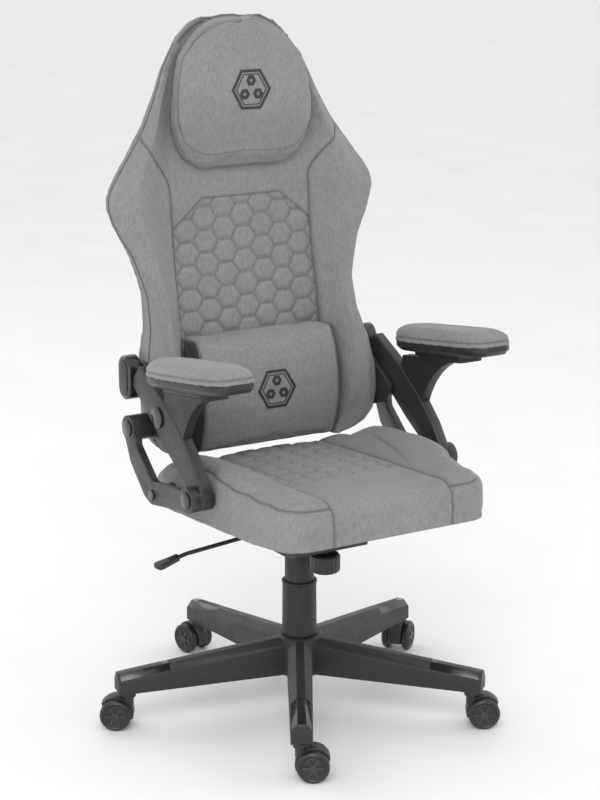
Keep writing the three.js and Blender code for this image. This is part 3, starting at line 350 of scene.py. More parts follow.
# Faces that meet at a blunt angle are shaded as one curved surface.
def smoothByAngle(degrees):
    tree = bpy.data.node_groups.new("smoothByAngle", "GeometryNodeTree")
    tree.interface.new_socket("Geometry", in_out="INPUT", socket_type="NodeSocketGeometry")
    tree.interface.new_socket("Geometry", in_out="OUTPUT", socket_type="NodeSocketGeometry")
    start, end = node(tree, "NodeGroupInput"), node(tree, "NodeGroupOutput")
    faces = node(tree, "GeometryNodeSetShadeSmooth", domain="FACE")
    edges = node(tree, "GeometryNodeSetShadeSmooth", domain="EDGE")
    angle = node(tree, "GeometryNodeInputMeshEdgeAngle")
    blunt = node(tree, "FunctionNodeCompare", data_type="FLOAT", operation="LESS_THAN")
    blunt.inputs[1].default_value = math.radians(degrees)
    tree.links.new(angle.outputs["Unsigned Angle"], blunt.inputs[0])
    tree.links.new(start.outputs[0], faces.inputs["Geometry"])
    tree.links.new(faces.outputs[0], edges.inputs["Geometry"])
    tree.links.new(blunt.outputs[0], edges.inputs["Shade Smooth"])
    tree.links.new(edges.outputs[0], end.inputs[0])
    return tree


def finishHardParts():
    smoothing = smoothByAngle(34)
    for part in frame["record"]["subparts"]:
        name = part["node"]
        if name in softNodes:
            continue
        look = startingWith(nodeLooks, name, slotLooks[part["material_slot"]])
        solid = nodes[name]
        solid.data.materials.clear()
        solid.data.materials.append(looks[look])
        weld = solid.modifiers.new("weld", "WELD")
        weld.merge_threshold = 0.01 * mm
        flat = solid.modifiers.new("flat", "DECIMATE")
        flat.decimate_type = "DISSOLVE"
        flat.angle_limit = math.radians(1.2)
        bevel = solid.modifiers.new("edges", "BEVEL")
        bevel.width = startingWith(edgeRadii, name, 0.4) * mm
        bevel.segments = 2
        bevel.limit_method = "ANGLE"
        bevel.angle_limit = math.radians(32)
        smooth = solid.modifiers.new("smooth", "NODES")
        smooth.node_group = smoothing
    print("moulded and steel parts finished")


# ------------ meshes
def meshPiece(name, mesh):
    piece = bpy.data.objects.new(name, mesh)
    bpy.context.scene.collection.objects.link(piece)
    return piece


def evaluatedMesh(piece):
    bpy.context.view_layer.update()
    graph = bpy.context.evaluated_depsgraph_get()
    return bpy.data.meshes.new_from_object(piece.evaluated_get(graph))


# Applies a piece's modifiers.
def settle(piece):
    mesh = evaluatedMesh(piece)
    piece.modifiers.clear()
    piece.data = mesh
    return piece


def pointsOf(mesh):
    points = np.empty(len(mesh.vertices) * 3)
    mesh.vertices.foreach_get("co", points)
    return points.reshape(-1, 3)


def normalsOf(mesh):
    normals = np.empty(len(mesh.vertices) * 3)
    mesh.vertices.foreach_get("normal", normals)
    return normals.reshape(-1, 3)


def movePoints(mesh, points):
    mesh.vertices.foreach_set("co", points.ravel())
    mesh.update()


def smoothStep(low, high, value):
    t = np.clip((value - low) / (high - low), 0, 1)
    return t * t * (3 - 2 * t)


backingSize = {"wide": 0.955, "high": 0.985}


# One closed mesh from the CAD foam; the later pieces' corners beside the first piece are tucked into it.
# A backing is a slightly smaller copy set further back, where the foam alone would be too thin to sew.
def foamFrom(name, sources, tuck=0.0, backing=0.0):
    form = bmesh.new()
    first = pointsOf(nodes[sources[0]].data)
    for source in sources:
        start = len(form.verts)
        form.from_mesh(nodes[source].data)
        form.verts.ensure_lookup_table()
        for vertex in form.verts[start:] if source != sources[0] else []:
            if np.linalg.norm(first - np.array(vertex.co), axis=1).min() < 2.6 * mm:
                vertex.co.x -= math.copysign(tuck, vertex.co.x - axis.x)
    bmesh.ops.remove_doubles(form, verts=form.verts, dist=0.02 * mm)
    if backing:
        everything = list(form.verts) + list(form.edges) + list(form.faces)
        doubled = bmesh.ops.duplicate(form, geom=everything)["geom"]
        middle = middleOf(sources[0]).z
        for vertex in (element for element in doubled if isinstance(element, bmesh.types.BMVert)):
            vertex.co.x = axis.x + (vertex.co.x - axis.x) * backingSize["wide"]
            vertex.co.z = middle + (vertex.co.z - middle) * backingSize["high"]
            vertex.co.y += backing
    mesh = bpy.data.meshes.new(name)
    form.to_mesh(mesh)
    form.free()
    return meshPiece(name, mesh)


def remeshed(piece, voxel, passes):
    remesh = piece.modifiers.new("remesh", "REMESH")
    remesh.mode = "VOXEL"
    remesh.voxel_size = voxel * mm
    smooth = piece.modifiers.new("smooth", "SMOOTH")
    smooth.factor = 0.5
    smooth.iterations = passes
    return settle(piece)


# Air pressure in a sewn cover: a short cloth run, with no vertex moved further than the cap.
# The side that rests on something, which faces the rests direction, keeps its shape.
def inflate(piece, spec):
    mesh = piece.data
    drawn, normals = pointsOf(mesh), normalsOf(mesh)
    points = drawn - normals * spec["shrink"] * mm
    movePoints(mesh, points)
    cloth = piece.modifiers.new("cloth", "CLOTH")
    cloth.settings.quality = 4
    cloth.settings.use_pressure = True
    cloth.settings.uniform_pressure_force = spec["pressure"]
    cloth.settings.effector_weights.gravity = 0
    cloth.point_cache.frame_start = 1
    cloth.point_cache.frame_end = 20
    scene = bpy.context.scene
    for number in range(1, 21):
        scene.frame_set(number)
    swollen = pointsOf(evaluatedMesh(piece))
    piece.modifiers.clear()
    travel = swollen - points
    length = np.maximum(np.linalg.norm(travel, axis=1, keepdims=True), 1e-9)
    swollen = points + travel * np.minimum(1, spec["cap"] * mm / length)
    held = smoothStep(0.35, 0.8, normals @ np.array(spec["rests"], float))[:, None]
    movePoints(mesh, swollen * (1 - held) + drawn * held)
    scene.frame_set(1)


# Brings a cushion back to its CAD solid's box, which the pull of its cover has made it leave. The rear
# of a backed cushion stays where it is.
def keepWithin(piece, sources, slack, backed=False):
    corners = np.array([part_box(source) for source in sources])
    low, high = corners[:, 0].min(axis=0) - slack * mm, corners[:, 1].max(axis=0) + slack * mm
    points = pointsOf(piece.data)
    least, most = points.min(axis=0), points.max(axis=0)
    if backed:
        high[1] = most[1]
    movePoints(piece.data, low + (points - least) / (most - least) * (high - low))


def subdivided(piece, levels=1):
    subdivision = piece.modifiers.new("subdivision", "SUBSURF")
    subdivision.levels = subdivision.render_levels = levels
    settle(piece)
    piece.data.shade_smooth()
    return piece


# Presses seams and quilting into a cushion: pattern gives a depth in mm and an amount of painted shade for each
# vertex.
def sew(piece, pattern):
    mesh = piece.data
    points, normals = pointsOf(mesh), normalsOf(mesh)
    drawn = (points - np.array(axis)) / mm
    drawn[:, 2] = points[:, 2] / mm
    depth, paintedShade = pattern(drawn, normals)
    movePoints(mesh, points - normals * (depth * mm)[:, None])
    # The sewn attribute holds the painted shade that darkens the cloth colour in the grooves.
    attribute = mesh.attributes.new("sewn", "FLOAT", "POINT")
    attribute.data.foreach_set("value", np.clip(paintedShade, 0, 1))


def groove(distance, width):
    return np.exp(-(distance / width) ** 2)


# Distance from each point to its honeycomb cell's edge: cells stand the along distance apart, in columns
# the across distance apart.
def cellEdge(x, y, across, along):
    column = along * math.sqrt(3) / 2
    u = x * column / across
    nearest = np.round(u / column)
    best = np.full(len(x), 1e9)
    edge = np.zeros(len(x))
    for step in (-1, 0, 1):
        index = nearest + step
        shift = np.where(np.mod(index, 2) == 1, along / 2, 0)
        du = u - index * column
        dv = y - shift - np.round((y - shift) / along) * along
        apart = du * du + dv * dv
        reach = np.maximum(np.abs(dv), np.abs(du) * math.cos(math.pi / 6) + np.abs(dv) * 0.5)
        closer = apart < best
        best = np.where(closer, apart, best)
        edge = np.where(closer, along / 2 - reach, edge)
    return edge


def quilted(edge, border, spec):
    dome = 1 - (1 - np.clip(edge / spec["shoulder"], 0, 1)) ** 2.4
    inside = smoothStep(0, 3, border)
    depth = inside * (spec["depth"] * (1 - dome) + spec["sink"])
    # Painted shade: the quilting grooves darkened in the colour.
    paintedShade = inside * groove(edge, 1.5) * spec["paintedShade"]
    return depth, paintedShade


# ------------ sewn lines: thread, piping and stitches along paths
# The tree lays a thin strand along a curve, with stitches standing on it at a steady pitch.
def sewnLineTree():
    tree = bpy.data.node_groups.new("sewnLine", "GeometryNodeTree")
    sockets = {}
    tree.interface.new_socket("Path", in_out="INPUT", socket_type="NodeSocketGeometry")
    inputs = [(name, "NodeSocketFloat")
        for name in ("Strand Radius", "Stitch Pitch", "Stitch Length", "Stitch Radius")]
    for name, kind in (*inputs, ("Finish", "NodeSocketMaterial")):
        sockets[name] = tree.interface.new_socket(name, in_out="INPUT", socket_type=kind).identifier
    tree.interface.new_socket("Geometry", in_out="OUTPUT", socket_type="NodeSocketGeometry")
    start, end = node(tree, "NodeGroupInput"), node(tree, "NodeGroupOutput")
    profile = node(tree, "GeometryNodeCurvePrimitiveCircle")
    profile.inputs["Resolution"].default_value = 6
    strand = node(tree, "GeometryNodeCurveToMesh")
    strand.inputs["Fill Caps"].default_value = True
    spaced = node(tree, "GeometryNodeResampleCurve", mode="LENGTH")
    stitch = node(tree, "GeometryNodeMeshCylinder")
    stitch.inputs["Vertices"].default_value = 6
    turned = node(tree, "FunctionNodeAlignRotationToVector", axis="Z")
    tangent = node(tree, "GeometryNodeInputTangent")
    stitches = node(tree, "GeometryNodeInstanceOnPoints")
    both = node(tree, "GeometryNodeJoinGeometry")
    whole = node(tree, "GeometryNodeRealizeInstances")
    finish = node(tree, "GeometryNodeSetMaterial")
    for source, target in (
        (start.outputs["Strand Radius"], profile.inputs["Radius"]),
        (start.outputs["Path"], strand.inputs["Curve"]),
        (profile.outputs["Curve"], strand.inputs["Profile Curve"]),
        (start.outputs["Path"], spaced.inputs["Curve"]),
        (start.outputs["Stitch Pitch"], spaced.inputs["Length"]),
        (start.outputs["Stitch Radius"], stitch.inputs["Radius"]),
        (start.outputs["Stitch Length"], stitch.inputs["Depth"]),
        (tangent.outputs["Tangent"], turned.inputs["Vector"]),
        (spaced.outputs["Curve"], stitches.inputs["Points"]),
        (stitch.outputs["Mesh"], stitches.inputs["Instance"]),
        (turned.outputs["Rotation"], stitches.inputs["Rotation"]),
        (strand.outputs["Mesh"], both.inputs["Geometry"]),
        (stitches.outputs["Instances"], both.inputs["Geometry"]),
        (both.outputs["Geometry"], whole.inputs["Geometry"]),
        (whole.outputs["Geometry"], finish.inputs["Geometry"]),
        (start.outputs["Finish"], finish.inputs["Material"]),
        (finish.outputs["Geometry"], end.inputs[0]),
    ):
        tree.links.new(source, target)
    return tree, sockets


lineTree, lineSockets = sewnLineTree()
lineKinds = {
    "seam": {"Strand Radius": 0.75, "Stitch Pitch": 7.0, "Stitch Length": 2.6, "Stitch Radius": 0.8,
        "Finish": "greyThread"},
    "piping": {"Strand Radius": 1.7, "Stitch Pitch": 400.0, "Stitch Length": 0.4, "Stitch Radius": 0.4,
        "Finish": "piping"},
}


# Paths are lists of points in metres; every path of one kind on one body becomes one plain mesh.
def sewnLines(name, paths, kind, body):
    curve = bpy.data.curves.new(name, "CURVE")
    curve.dimensions = "3D"
    for path, closed in paths:
        spline = curve.splines.new("POLY")
        spline.points.add(len(path) - 1)
        spline.use_cyclic_u = closed
        for point, spot in zip(spline.points, path):
            point.co = (*spot, 1)
    source = meshPiece(name + "Path", curve)
    modifier = source.modifiers.new("sewnLine", "NODES")
    modifier.node_group = lineTree
    for key, value in lineKinds[kind].items():
        modifier[lineSockets[key]] = looks[value] if key == "Finish" else value * mm
    source.update_tag()
    mesh = evaluatedMesh(source)
    bpy.data.objects.remove(source)
    mesh.name = name
    mesh.shade_smooth()
    piece = meshPiece(name, mesh)
    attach(piece, body)
    return piece


# Casts points of a path onto a cushion from outside, and lets the thread sink in a little.
class Surface:
    def __init__(self, piece):
        mesh = piece.data
        polygons = [tuple(polygon.vertices) for polygon in mesh.polygons]
        self.tree = BVHTree.FromPolygons([vertex.co.copy() for vertex in mesh.vertices], polygons)

    def hit(self, start, direction, sink=0.2):
        spot, normal, _, _ = self.tree.ray_cast(start, Vector(direction))
        return None if spot is None else spot - normal * sink * mm

    def path(self, starts, direction, sink=0.2):
        hits = [self.hit(start, direction, sink) for start in starts]
        return [spot for spot in hits if spot is not None]

    def near(self, spot, sink=0.2):
        found, normal, _, _ = self.tree.find_nearest(spot)
        return found - normal * sink * mm


# ------------ backrest
inFront = -400    # clear of the backrest's front, from where its seams are cast onto it
backSpec = {"rests": (0, 1, 0), "voxel": 5.6, "smooth": 9, "shrink": 1.5, "pressure": 4.0, "cap": 5.0,
    "tuck": 9, "backing": 9, "flareFrom": 935, "flareTo": 1045, "flare": 62, "seamFrom": 484,
    "panelTop": 917, "panelSide": 866, "panelTopHalf": 81, "across": 39, "along": 41, "centreRow": 882,
    "depth": 4.2, "sink": 0.6, "shoulder": 11, "paintedShade": 0.5, "seamDepth": 4.0}


def backSeamAt(z):
    inner = (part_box("back_panel")[1][0] - axis.x) / mm
    return inner + smoothStep(backSpec["flareFrom"], backSpec["flareTo"],
        np.asarray(z, float)) * backSpec["flare"]


def panelBorder(x, z):
    seam = backSeamAt(z) - np.abs(x)
    run = backSpec["panelTop"] - backSpec["panelSide"]
    slope = run / (backSeamAt(backSpec["panelSide"]) - backSpec["panelTopHalf"])
    drop = (np.abs(x) - backSpec["panelTopHalf"]) * slope
    chamfer = (backSpec["panelTop"] - drop - z) / math.hypot(1, slope)
    return np.minimum(np.minimum(seam, chamfer), backSpec["panelTop"] - z)


def backPattern(points, normals):
    x, z = points[:, 0], points[:, 2]
    facing = smoothStep(0.15, 0.45, -normals[:, 1])
    border = panelBorder(x, z)
    edge = cellEdge(x, z - backSpec["centreRow"], backSpec["across"], backSpec["along"])
    depth, paintedShade = quilted(edge, border, backSpec)
    fromSeam = np.abs(x) - backSeamAt(z)
    rim = groove(border, 2.6) * smoothStep(-6, 0, backSpec["panelTop"] + 4 - z)
    depth = depth + backSpec["seamDepth"] * groove(fromSeam, 5) + 1.6 * rim
    # Painted shade: the seam lines and the panel's outline darkened in the colour.
    lines = np.maximum(groove(fromSeam, 1.7) * 0.8, groove(border, 1.4) * 0.7)
    paintedShade = np.maximum(paintedShade, lines)
    return depth * facing, paintedShade * facing


def addBackCushion():
    sources = ["back_panel", "back_bolster_left", "back_bolster_right"]
    foam = foamFrom("backCushion", sources, backSpec["tuck"] * mm, backSpec["backing"] * mm)
    cushion = remeshed(foam, backSpec["voxel"], backSpec["smooth"])
    inflate(cushion, backSpec)
    keepWithin(cushion, sources, 1.0, backed=True)
    subdivided(cushion)
    sew(cushion, backPattern)
    cushion.data.materials.clear()
    cushion.data.materials.append(looks["greyCloth"])
    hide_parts(*sources)
    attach(cushion, "back")
    surface = Surface(cushion)
    rise = np.arange(backSpec["seamFrom"], backSpec["flareTo"] + 1, 8)
    seams = []
    for side in (-1, 1):
        starts = [place(side * float(backSeamAt(z)), inFront, z) for z in rise]
        seams.append((surface.path(starts, (0, 1, 0)), False))
    half, side = backSpec["panelTopHalf"], float(backSeamAt(backSpec["panelSide"]))
    corners = [(-side, backSpec["panelSide"]), (-half, backSpec["panelTop"]), (half, backSpec["panelTop"]),
        (side, backSpec["panelSide"])]
    shares = np.arange(0, len(corners) - 1 + 1e-6, 1 / 14)
    xs, zs = (np.interp(shares, range(len(corners)), values) for values in zip(*corners))
    outline = [place(x, inFront, z) for x, z in zip(xs, zs)]
    seams.append((surface.path(outline, (0, 1, 0)), False))
    sewnLines("backSeams", seams, "seam", "back")
    addBackPiping(surface, cushion)
    print("backrest cushion sewn")


# Piping runs round the backrest's outline where the front cloth meets the side walls: the outline's furthest
# points are found in sectors round the backrest's middle.
pipingSpec = {"middle": 851, "sectors": 260, "rim": 9, "depthShare": 0.42, "spread": 6}


def addBackPiping(surface, cushion):
    centre = place(0, 0, pipingSpec["middle"])
    count = pipingSpec["sectors"]
    points = []
    sides = pointsOf(cushion.data)
    angles = np.arctan2(sides[:, 2] - centre.z, sides[:, 0] - centre.x)
    reach = np.hypot(sides[:, 2] - centre.z, sides[:, 0] - centre.x)
    bins = ((angles + math.pi) / (2 * math.pi) * count).astype(int) % count
    for index in range(count):
        members = np.where(bins == index)[0]
        if not len(members):
            continue
        far = members[reach[members] > reach[members].max() - pipingSpec["rim"] * mm]
        front = sides[far][:, 1].min()
        rear = sides[far][:, 1].max()
        outer = sides[members[np.argmax(reach[members])]]
        points.append(Vector((outer[0], front + (rear - front) * pipingSpec["depthShare"], outer[2])))
    steps = range(-pipingSpec["spread"], pipingSpec["spread"] + 1)
    smooth = [sum((points[(i + step) % len(points)] for step in steps), Vector()) / len(steps)
        for i in range(len(points))]
    path = [surface.near(point, -0.4) for point in smooth]
    sewnLines("backPiping", [(path, True)], "piping", "back")


shellSpec = {"voxel": 6.0, "smooth": 10, "drawnIn": 1.5, "seamShare": 0.42, "yokeTop": 980,
    "yokeBend": 0.0006, "behind": 600}


def yokeAt(x):
    return shellSpec["yokeTop"] - shellSpec["yokeBend"] * x * x


def addBackShell():
    shell = remeshed(foamFrom("backCover", ["back_shell"]), shellSpec["voxel"], shellSpec["smooth"])
    keepWithin(shell, ["back_shell"], -shellSpec["drawnIn"])
    subdivided(shell)
    low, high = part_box("back_shell")
    seamX = (high[0] - low[0]) / 2 / mm * shellSpec["seamShare"]

    def pattern(points, normals):
        facing = smoothStep(0.3, 0.6, normals[:, 1])
        seam = np.abs(np.abs(points[:, 0]) - seamX)
        yoke = np.abs(points[:, 2] - yokeAt(points[:, 0]))
        depth = 2.2 * groove(seam, 3.5) + 2.2 * groove(yoke, 3.5)
        # Painted shade along the shell's seams and yoke.
        paintedShade = np.maximum(groove(seam, 1.6), groove(yoke, 1.6)) * 0.8
        return depth * facing, paintedShade * facing

    sew(shell, pattern)
    shell.data.materials.clear()
    shell.data.materials.append(looks["greyCloth"])
    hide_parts("back_shell")
    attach(shell, "back")
    surface = Surface(shell)
    rise = np.arange(520, 1140, 10)
    starts = [[place(side * seamX, shellSpec["behind"], z) for z in rise] for side in (-1, 1)]
    starts.append([place(x, shellSpec["behind"], yokeAt(x)) for x in np.linspace(-170, 170, 30)])
    paths = [(surface.path(line, (0, -1, 0)), False) for line in starts]
    sewnLines("coverSeams", paths, "seam", "back")
    print("backrest cover sewn")


# ------------ seat
seatSpec = {"rests": (0, 0, -1), "voxel": 5.6, "smooth": 9, "shrink": 1.5, "pressure": 4.0, "cap": 6.0,
    "seamAt": 119, "quiltFront": -155,
    "quiltHalf": 108, "quiltRear": 160, "across": 39, "along": 41, "depth": 3.4, "sink": 0.4, "shoulder": 11,
    "paintedShade": 0.35, "sideSeam": ((-330, 478), (-205, 480), (-150, 485), (-85, 491), (60, 496), (160, 494))}


def seatSideSeam(y):
    lengths, levels = zip(*seatSpec["sideSeam"])
    return np.interp(y, lengths, levels)


def seatPattern(points, normals):
    x, y, z = points.T
    upward = smoothStep(0.35, 0.7, normals[:, 2])
    forward = smoothStep(0.3, 0.7, -normals[:, 1])
    outward = smoothStep(0.3, 0.7, np.abs(normals[:, 0]))
    border = np.minimum(np.minimum(seatSpec["quiltHalf"] - np.abs(x), y - seatSpec["quiltFront"]),
        seatSpec["quiltRear"] - y)
    firstRow = seatSpec["quiltFront"] + seatSpec["along"] / 2
    edge = cellEdge(x, y - firstRow, seatSpec["across"], seatSpec["along"])
    depth, paintedShade = quilted(edge, border, seatSpec)
    depth, paintedShade = depth * upward, paintedShade * upward
    seam = np.abs(np.abs(x) - seatSpec["seamAt"])
    along = np.maximum(upward, forward) * (z > 412)
    depth = depth + 3.6 * groove(seam, 5) * along
    # Painted shade along the top seams.
    paintedShade = np.maximum(paintedShade, groove(seam, 1.7) * 0.8 * along)
    side = np.abs(z - seatSideSeam(y))
    beyond = smoothStep(seatSpec["seamAt"] - 4, seatSpec["seamAt"] + 2, np.abs(x))
    wall = np.maximum(outward, forward) * beyond
    depth = depth + 2.2 * groove(side, 4) * wall
    # Painted shade along the side-wall seam.
    paintedShade = np.maximum(paintedShade, groove(side, 1.6) * 0.7 * wall)
    return depth, paintedShade


def addSeatCushion():
    cushion = remeshed(foamFrom("seatCushion", ["seat_cushion"]), seatSpec["voxel"], seatSpec["smooth"])
    inflate(cushion, seatSpec)
    keepWithin(cushion, ["seat_cushion"], 0.0)
    subdivided(cushion)
    sew(cushion, seatPattern)
    cushion.data.materials.clear()
    cushion.data.materials.append(looks["greyCloth"])
    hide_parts("seat_cushion")
    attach(cushion, "seat")
    surface = Surface(cushion)
    paths = []
    for side in (-1, 1):
        top = [place(side * seatSpec["seamAt"], y, 700) for y in np.arange(140, -296, -8)]
        front = [place(side * seatSpec["seamAt"], -600, z) for z in np.arange(476, 410, -6)]
        paths.append((surface.path(top, (0, 0, -1)) + surface.path(front, (0, 1, 0)), False))
        wall = [place(side * 600, y, seatSideSeam(y)) for y in np.arange(120, -262, -8)]
        corner = []
        for turn in np.linspace(0, 90, 12):
            aim = math.radians(turn)
            corner.append((place(side * (170 + 300 * math.cos(aim)), -250 - 300 * math.sin(aim), 479),
                (-side * math.cos(aim), math.sin(aim), 0)))
        bend = [surface.hit(start, direction) for start, direction in corner]
        front = [place(side * x, -600, 478) for x in np.arange(164, seatSpec["seamAt"], -8)]
        paths.append((surface.path(wall, (-side, 0, 0)) + [spot for spot in bend if spot]
            + surface.path(front, (0, 1, 0)), False))
    sewnLines("seatSeams", paths, "seam", "seat")
    print("seat cushion sewn")


# ------------ pillows and pads
pillowSpec = {"rests": (0, 1, 0), "voxel": 5.0, "smooth": 8, "shrink": 1.5, "pressure": 4.0, "cap": 5.0}
padSpec = {"rests": (0, 0, -1), "voxel": 4.0, "smooth": 5, "shrink": 1.0, "pressure": 4.0, "cap": 3.0,
    "seamUp": 8, "tip": 8}
badge = {"radius": 40, "stroke": 5.5, "cell": 10, "spread": 15.5, "raise": 0.5}


# A stuffed pillow with its own pattern of seams.
def addPillow(name, source, body, seams):
    pillow = remeshed(foamFrom(name, [source]), pillowSpec["voxel"], pillowSpec["smooth"])
    inflate(pillow, pillowSpec)
    keepWithin(pillow, [source], 1.0)
    subdivided(pillow)
    sew(pillow, seams)
    pillow.data.materials.clear()
    pillow.data.materials.append(looks["greyCloth"])
    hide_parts(source)
    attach(pillow, body)
    return pillow


def addHeadPillow():
    low, high = (np.array(corner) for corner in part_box("head_pillow"))
    middle = (low + high) / 2

    seamY = low[1] + 0.36 * (high[1] - low[1])

    def pattern(points, normals):
        lean = 0.10 * (middle[2] - points[:, 2] * mm)
        edge = np.abs(points[:, 1] * mm + axis.y - seamY + lean) / mm
        side = smoothStep(0.25, 0.6, 1 - np.abs(normals[:, 1]))
        # The second value is painted shade along the seam groove.
        return 2.4 * groove(edge, 4) * side, groove(edge, 1.8) * 0.75 * side

    pillow = addPillow("headPillow", "head_pillow", "head_rest", pattern)
    surface = Surface(pillow)
    path = []
    for turn in np.linspace(0, 2 * math.pi, 150, endpoint=False):
        aim = Vector((math.cos(turn), 0, math.sin(turn)))
        start = Vector((middle[0], seamY, middle[2])) + aim * 0.3
        start.y -= 0.10 * (middle[2] - start.z) * 0.4
        spot = surface.hit(start, -aim, 0.1)
        if spot:
            path.append(spot)
    sewnLines("headPillowSeam", [(path, True)], "seam", "head_rest")
    addBadge("headBadge", surface, Vector((middle[0], 0, 1.109)), "head_rest")
    print("head pillow sewn")


def addLumbarPillow():
    low, high = (np.array(corner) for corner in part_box("lumbar_pillow"))
    half = (high[0] - low[0]) / 2 / mm
    endSeam = half - 13

    def pattern(points, normals):
        edge = np.abs(np.abs(points[:, 0]) - endSeam)
        # The second value is painted shade along the end seams.
        return 1.8 * groove(edge, 3.5), groove(edge, 1.7) * 0.8

    pillow = addPillow("lumbarPillow", "lumbar_pillow", "lumbar_rest", pattern)
    pillow.data.materials.append(looks["darkCloth"])
    for polygon in pillow.data.polygons:
        if abs(polygon.center.x - axis.x) > (endSeam + 0.5) * mm:
            polygon.material_index = 1
    surface = Surface(pillow)
    centre = (low + high) / 2
    paths = []
    for side in (-1, 1):
        ring = []
        for turn in np.linspace(0, 2 * math.pi, 90, endpoint=False):
            aim = Vector((0, math.cos(turn), math.sin(turn)))
            start = Vector((axis.x + side * endSeam * mm, centre[1], centre[2])) + aim * 0.3
            spot = surface.hit(start, -aim, -0.3)
            if spot:
                ring.append(spot)
        paths.append((ring, True))
    sewnLines("lumbarPiping", paths, "piping", "lumbar_rest")
    addBadge("lumbarBadge", surface, Vector((centre[0], 0, 0.583)), "lumbar_rest")
    print("lumbar pillow sewn")


def addPads():
    for side in ("left", "right"):
        source = f"pad_cushion_{side}"
        pad = remeshed(foamFrom(f"padCushion_{side}", [source]), padSpec["voxel"], padSpec["smooth"])
        inflate(pad, padSpec)
        keepWithin(pad, [source], 0.5)
        subdivided(pad)
        low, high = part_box(source)

        def pattern(points, normals):
            fromRear = (high[1] - axis.y) / mm - points[:, 1]
            level = low[2] / mm + padSpec["seamUp"] + fromRear * math.tan(math.radians(padSpec["tip"]))
            edge = np.abs(points[:, 2] - level)
            side = smoothStep(0.3, 0.7, 1 - np.abs(normals[:, 2]))
            # The second value is painted shade along the side seam.
            return 1.2 * groove(edge, 2.5) * side, groove(edge, 1.5) * 0.7 * side

        sew(pad, pattern)
        pad.data.materials.clear()
        pad.data.materials.append(looks["greyCloth"])
        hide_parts(source)
        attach(pad, f"pad_{side}")
    print("arm pads sewn")


# ------------ embroidered badge: a honeycomb motif lying on a pillow's front
def hexagon(centre, radius):
    return [(centre[0] + radius * math.cos(math.radians(60 * i)),
        centre[1] + radius * math.sin(math.radians(60 * i))) for i in range(6)]


# A band between two outlines.
def bandFaces(outer, inner, steps, rows):
    points, faces = [], []
    count = len(outer) * steps
    for row in range(rows + 1):
        share = row / rows
        for i in range(count):
            corner, t = divmod(i, steps)
            t /= steps
            ends = [[ring[corner], ring[(corner + 1) % len(ring)]] for ring in (outer, inner)]
            spots = [(a[0] + (b[0] - a[0]) * t, a[1] + (b[1] - a[1]) * t) for a, b in ends]
            points.append(tuple(spots[0][k] + (spots[1][k] - spots[0][k]) * share for k in (0, 1)))
    for row in range(rows):
        for i in range(count):
            after = (i + 1) % count
            near, far = row * count, (row + 1) * count
            faces.append((near + i, near + after, far + after, far + i))
    return points, faces


def addBadge(name, surface, centre, body):
    points, faces = [], []
    parts = [(hexagon((0, 0), badge["radius"]), hexagon((0, 0), badge["radius"] - badge["stroke"]), 8, 2),
        (hexagon((0, 0), badge["radius"] - 9), hexagon((0, 0), badge["radius"] - 10.8), 8, 1)]
    for i in range(3):
        turn = math.radians(90 + 120 * i)
        spot = (badge["spread"] * math.cos(turn), badge["spread"] * math.sin(turn))
        parts.append((hexagon(spot, badge["cell"]), hexagon(spot, badge["cell"] * 0.35), 4, 2))
    for outer, inner, steps, rows in parts:
        more, sides = bandFaces(outer, inner, steps, rows)
        base = len(points)
        points += more
        faces += [tuple(base + index for index in face) for face in sides]
    spots = []
    for x, z in points:
        start = Vector((centre.x + x * mm, -1, centre.z + z * mm))
        spots.append(surface.hit(start, (0, 1, 0), -badge["raise"]) or start)
    mesh = bpy.data.meshes.new(name)
    mesh.from_pydata([tuple(spot) for spot in spots], [], faces)
    piece = meshPiece(name, mesh)
    thick = piece.modifiers.new("thread", "SOLIDIFY")
    thick.thickness = 0.9 * mm
    thick.offset = 0
    settle(piece)
    form = bmesh.new()
    form.from_mesh(piece.data)
    bmesh.ops.recalc_face_normals(form, faces=form.faces)
    form.to_mesh(piece.data)
    form.free()
    piece.data.materials.append(looks["blackThread"])
    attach(piece, body)


# ------------ wheel spokes and grip ribs
spokeSpec = {"Count": 6, "Hub Radius": 7.6, "Hub Height": 1.9, "Spoke Width": 5.0, "Spoke Height": 1.5,
    "Ring Radius": 18.6, "Ring Thickness": 1.1, "Finish": "wheelPlastic"}
wheelSpec = {"dishFloor": 25.9}
ribSpec = {"Columns": 3, "Rows": 15, "Across": 4.4, "Pitch": 4.6, "Rib Length": 2.6, "Rib Width": 3.0,
    "Rib Height": 1.2, "Finish": "glossPlastic"}


def newTree(name, inputs):
    tree = bpy.data.node_groups.new(name, "GeometryNodeTree")
    tree.interface.new_socket("Geometry", in_out="OUTPUT", socket_type="NodeSocketGeometry")
    kinds = {int: "NodeSocketInt", float: "NodeSocketFloat", str: "NodeSocketMaterial"}
    sockets = {}
    for key, value in inputs.items():
        made = tree.interface.new_socket(key, in_out="INPUT", socket_type=kinds[type(value)])
        sockets[key] = made.identifier
    return tree, sockets, node(tree, "NodeGroupInput"), node(tree, "NodeGroupOutput")


def link(tree, pairs):
    for source, target in pairs:
        tree.links.new(source, target)


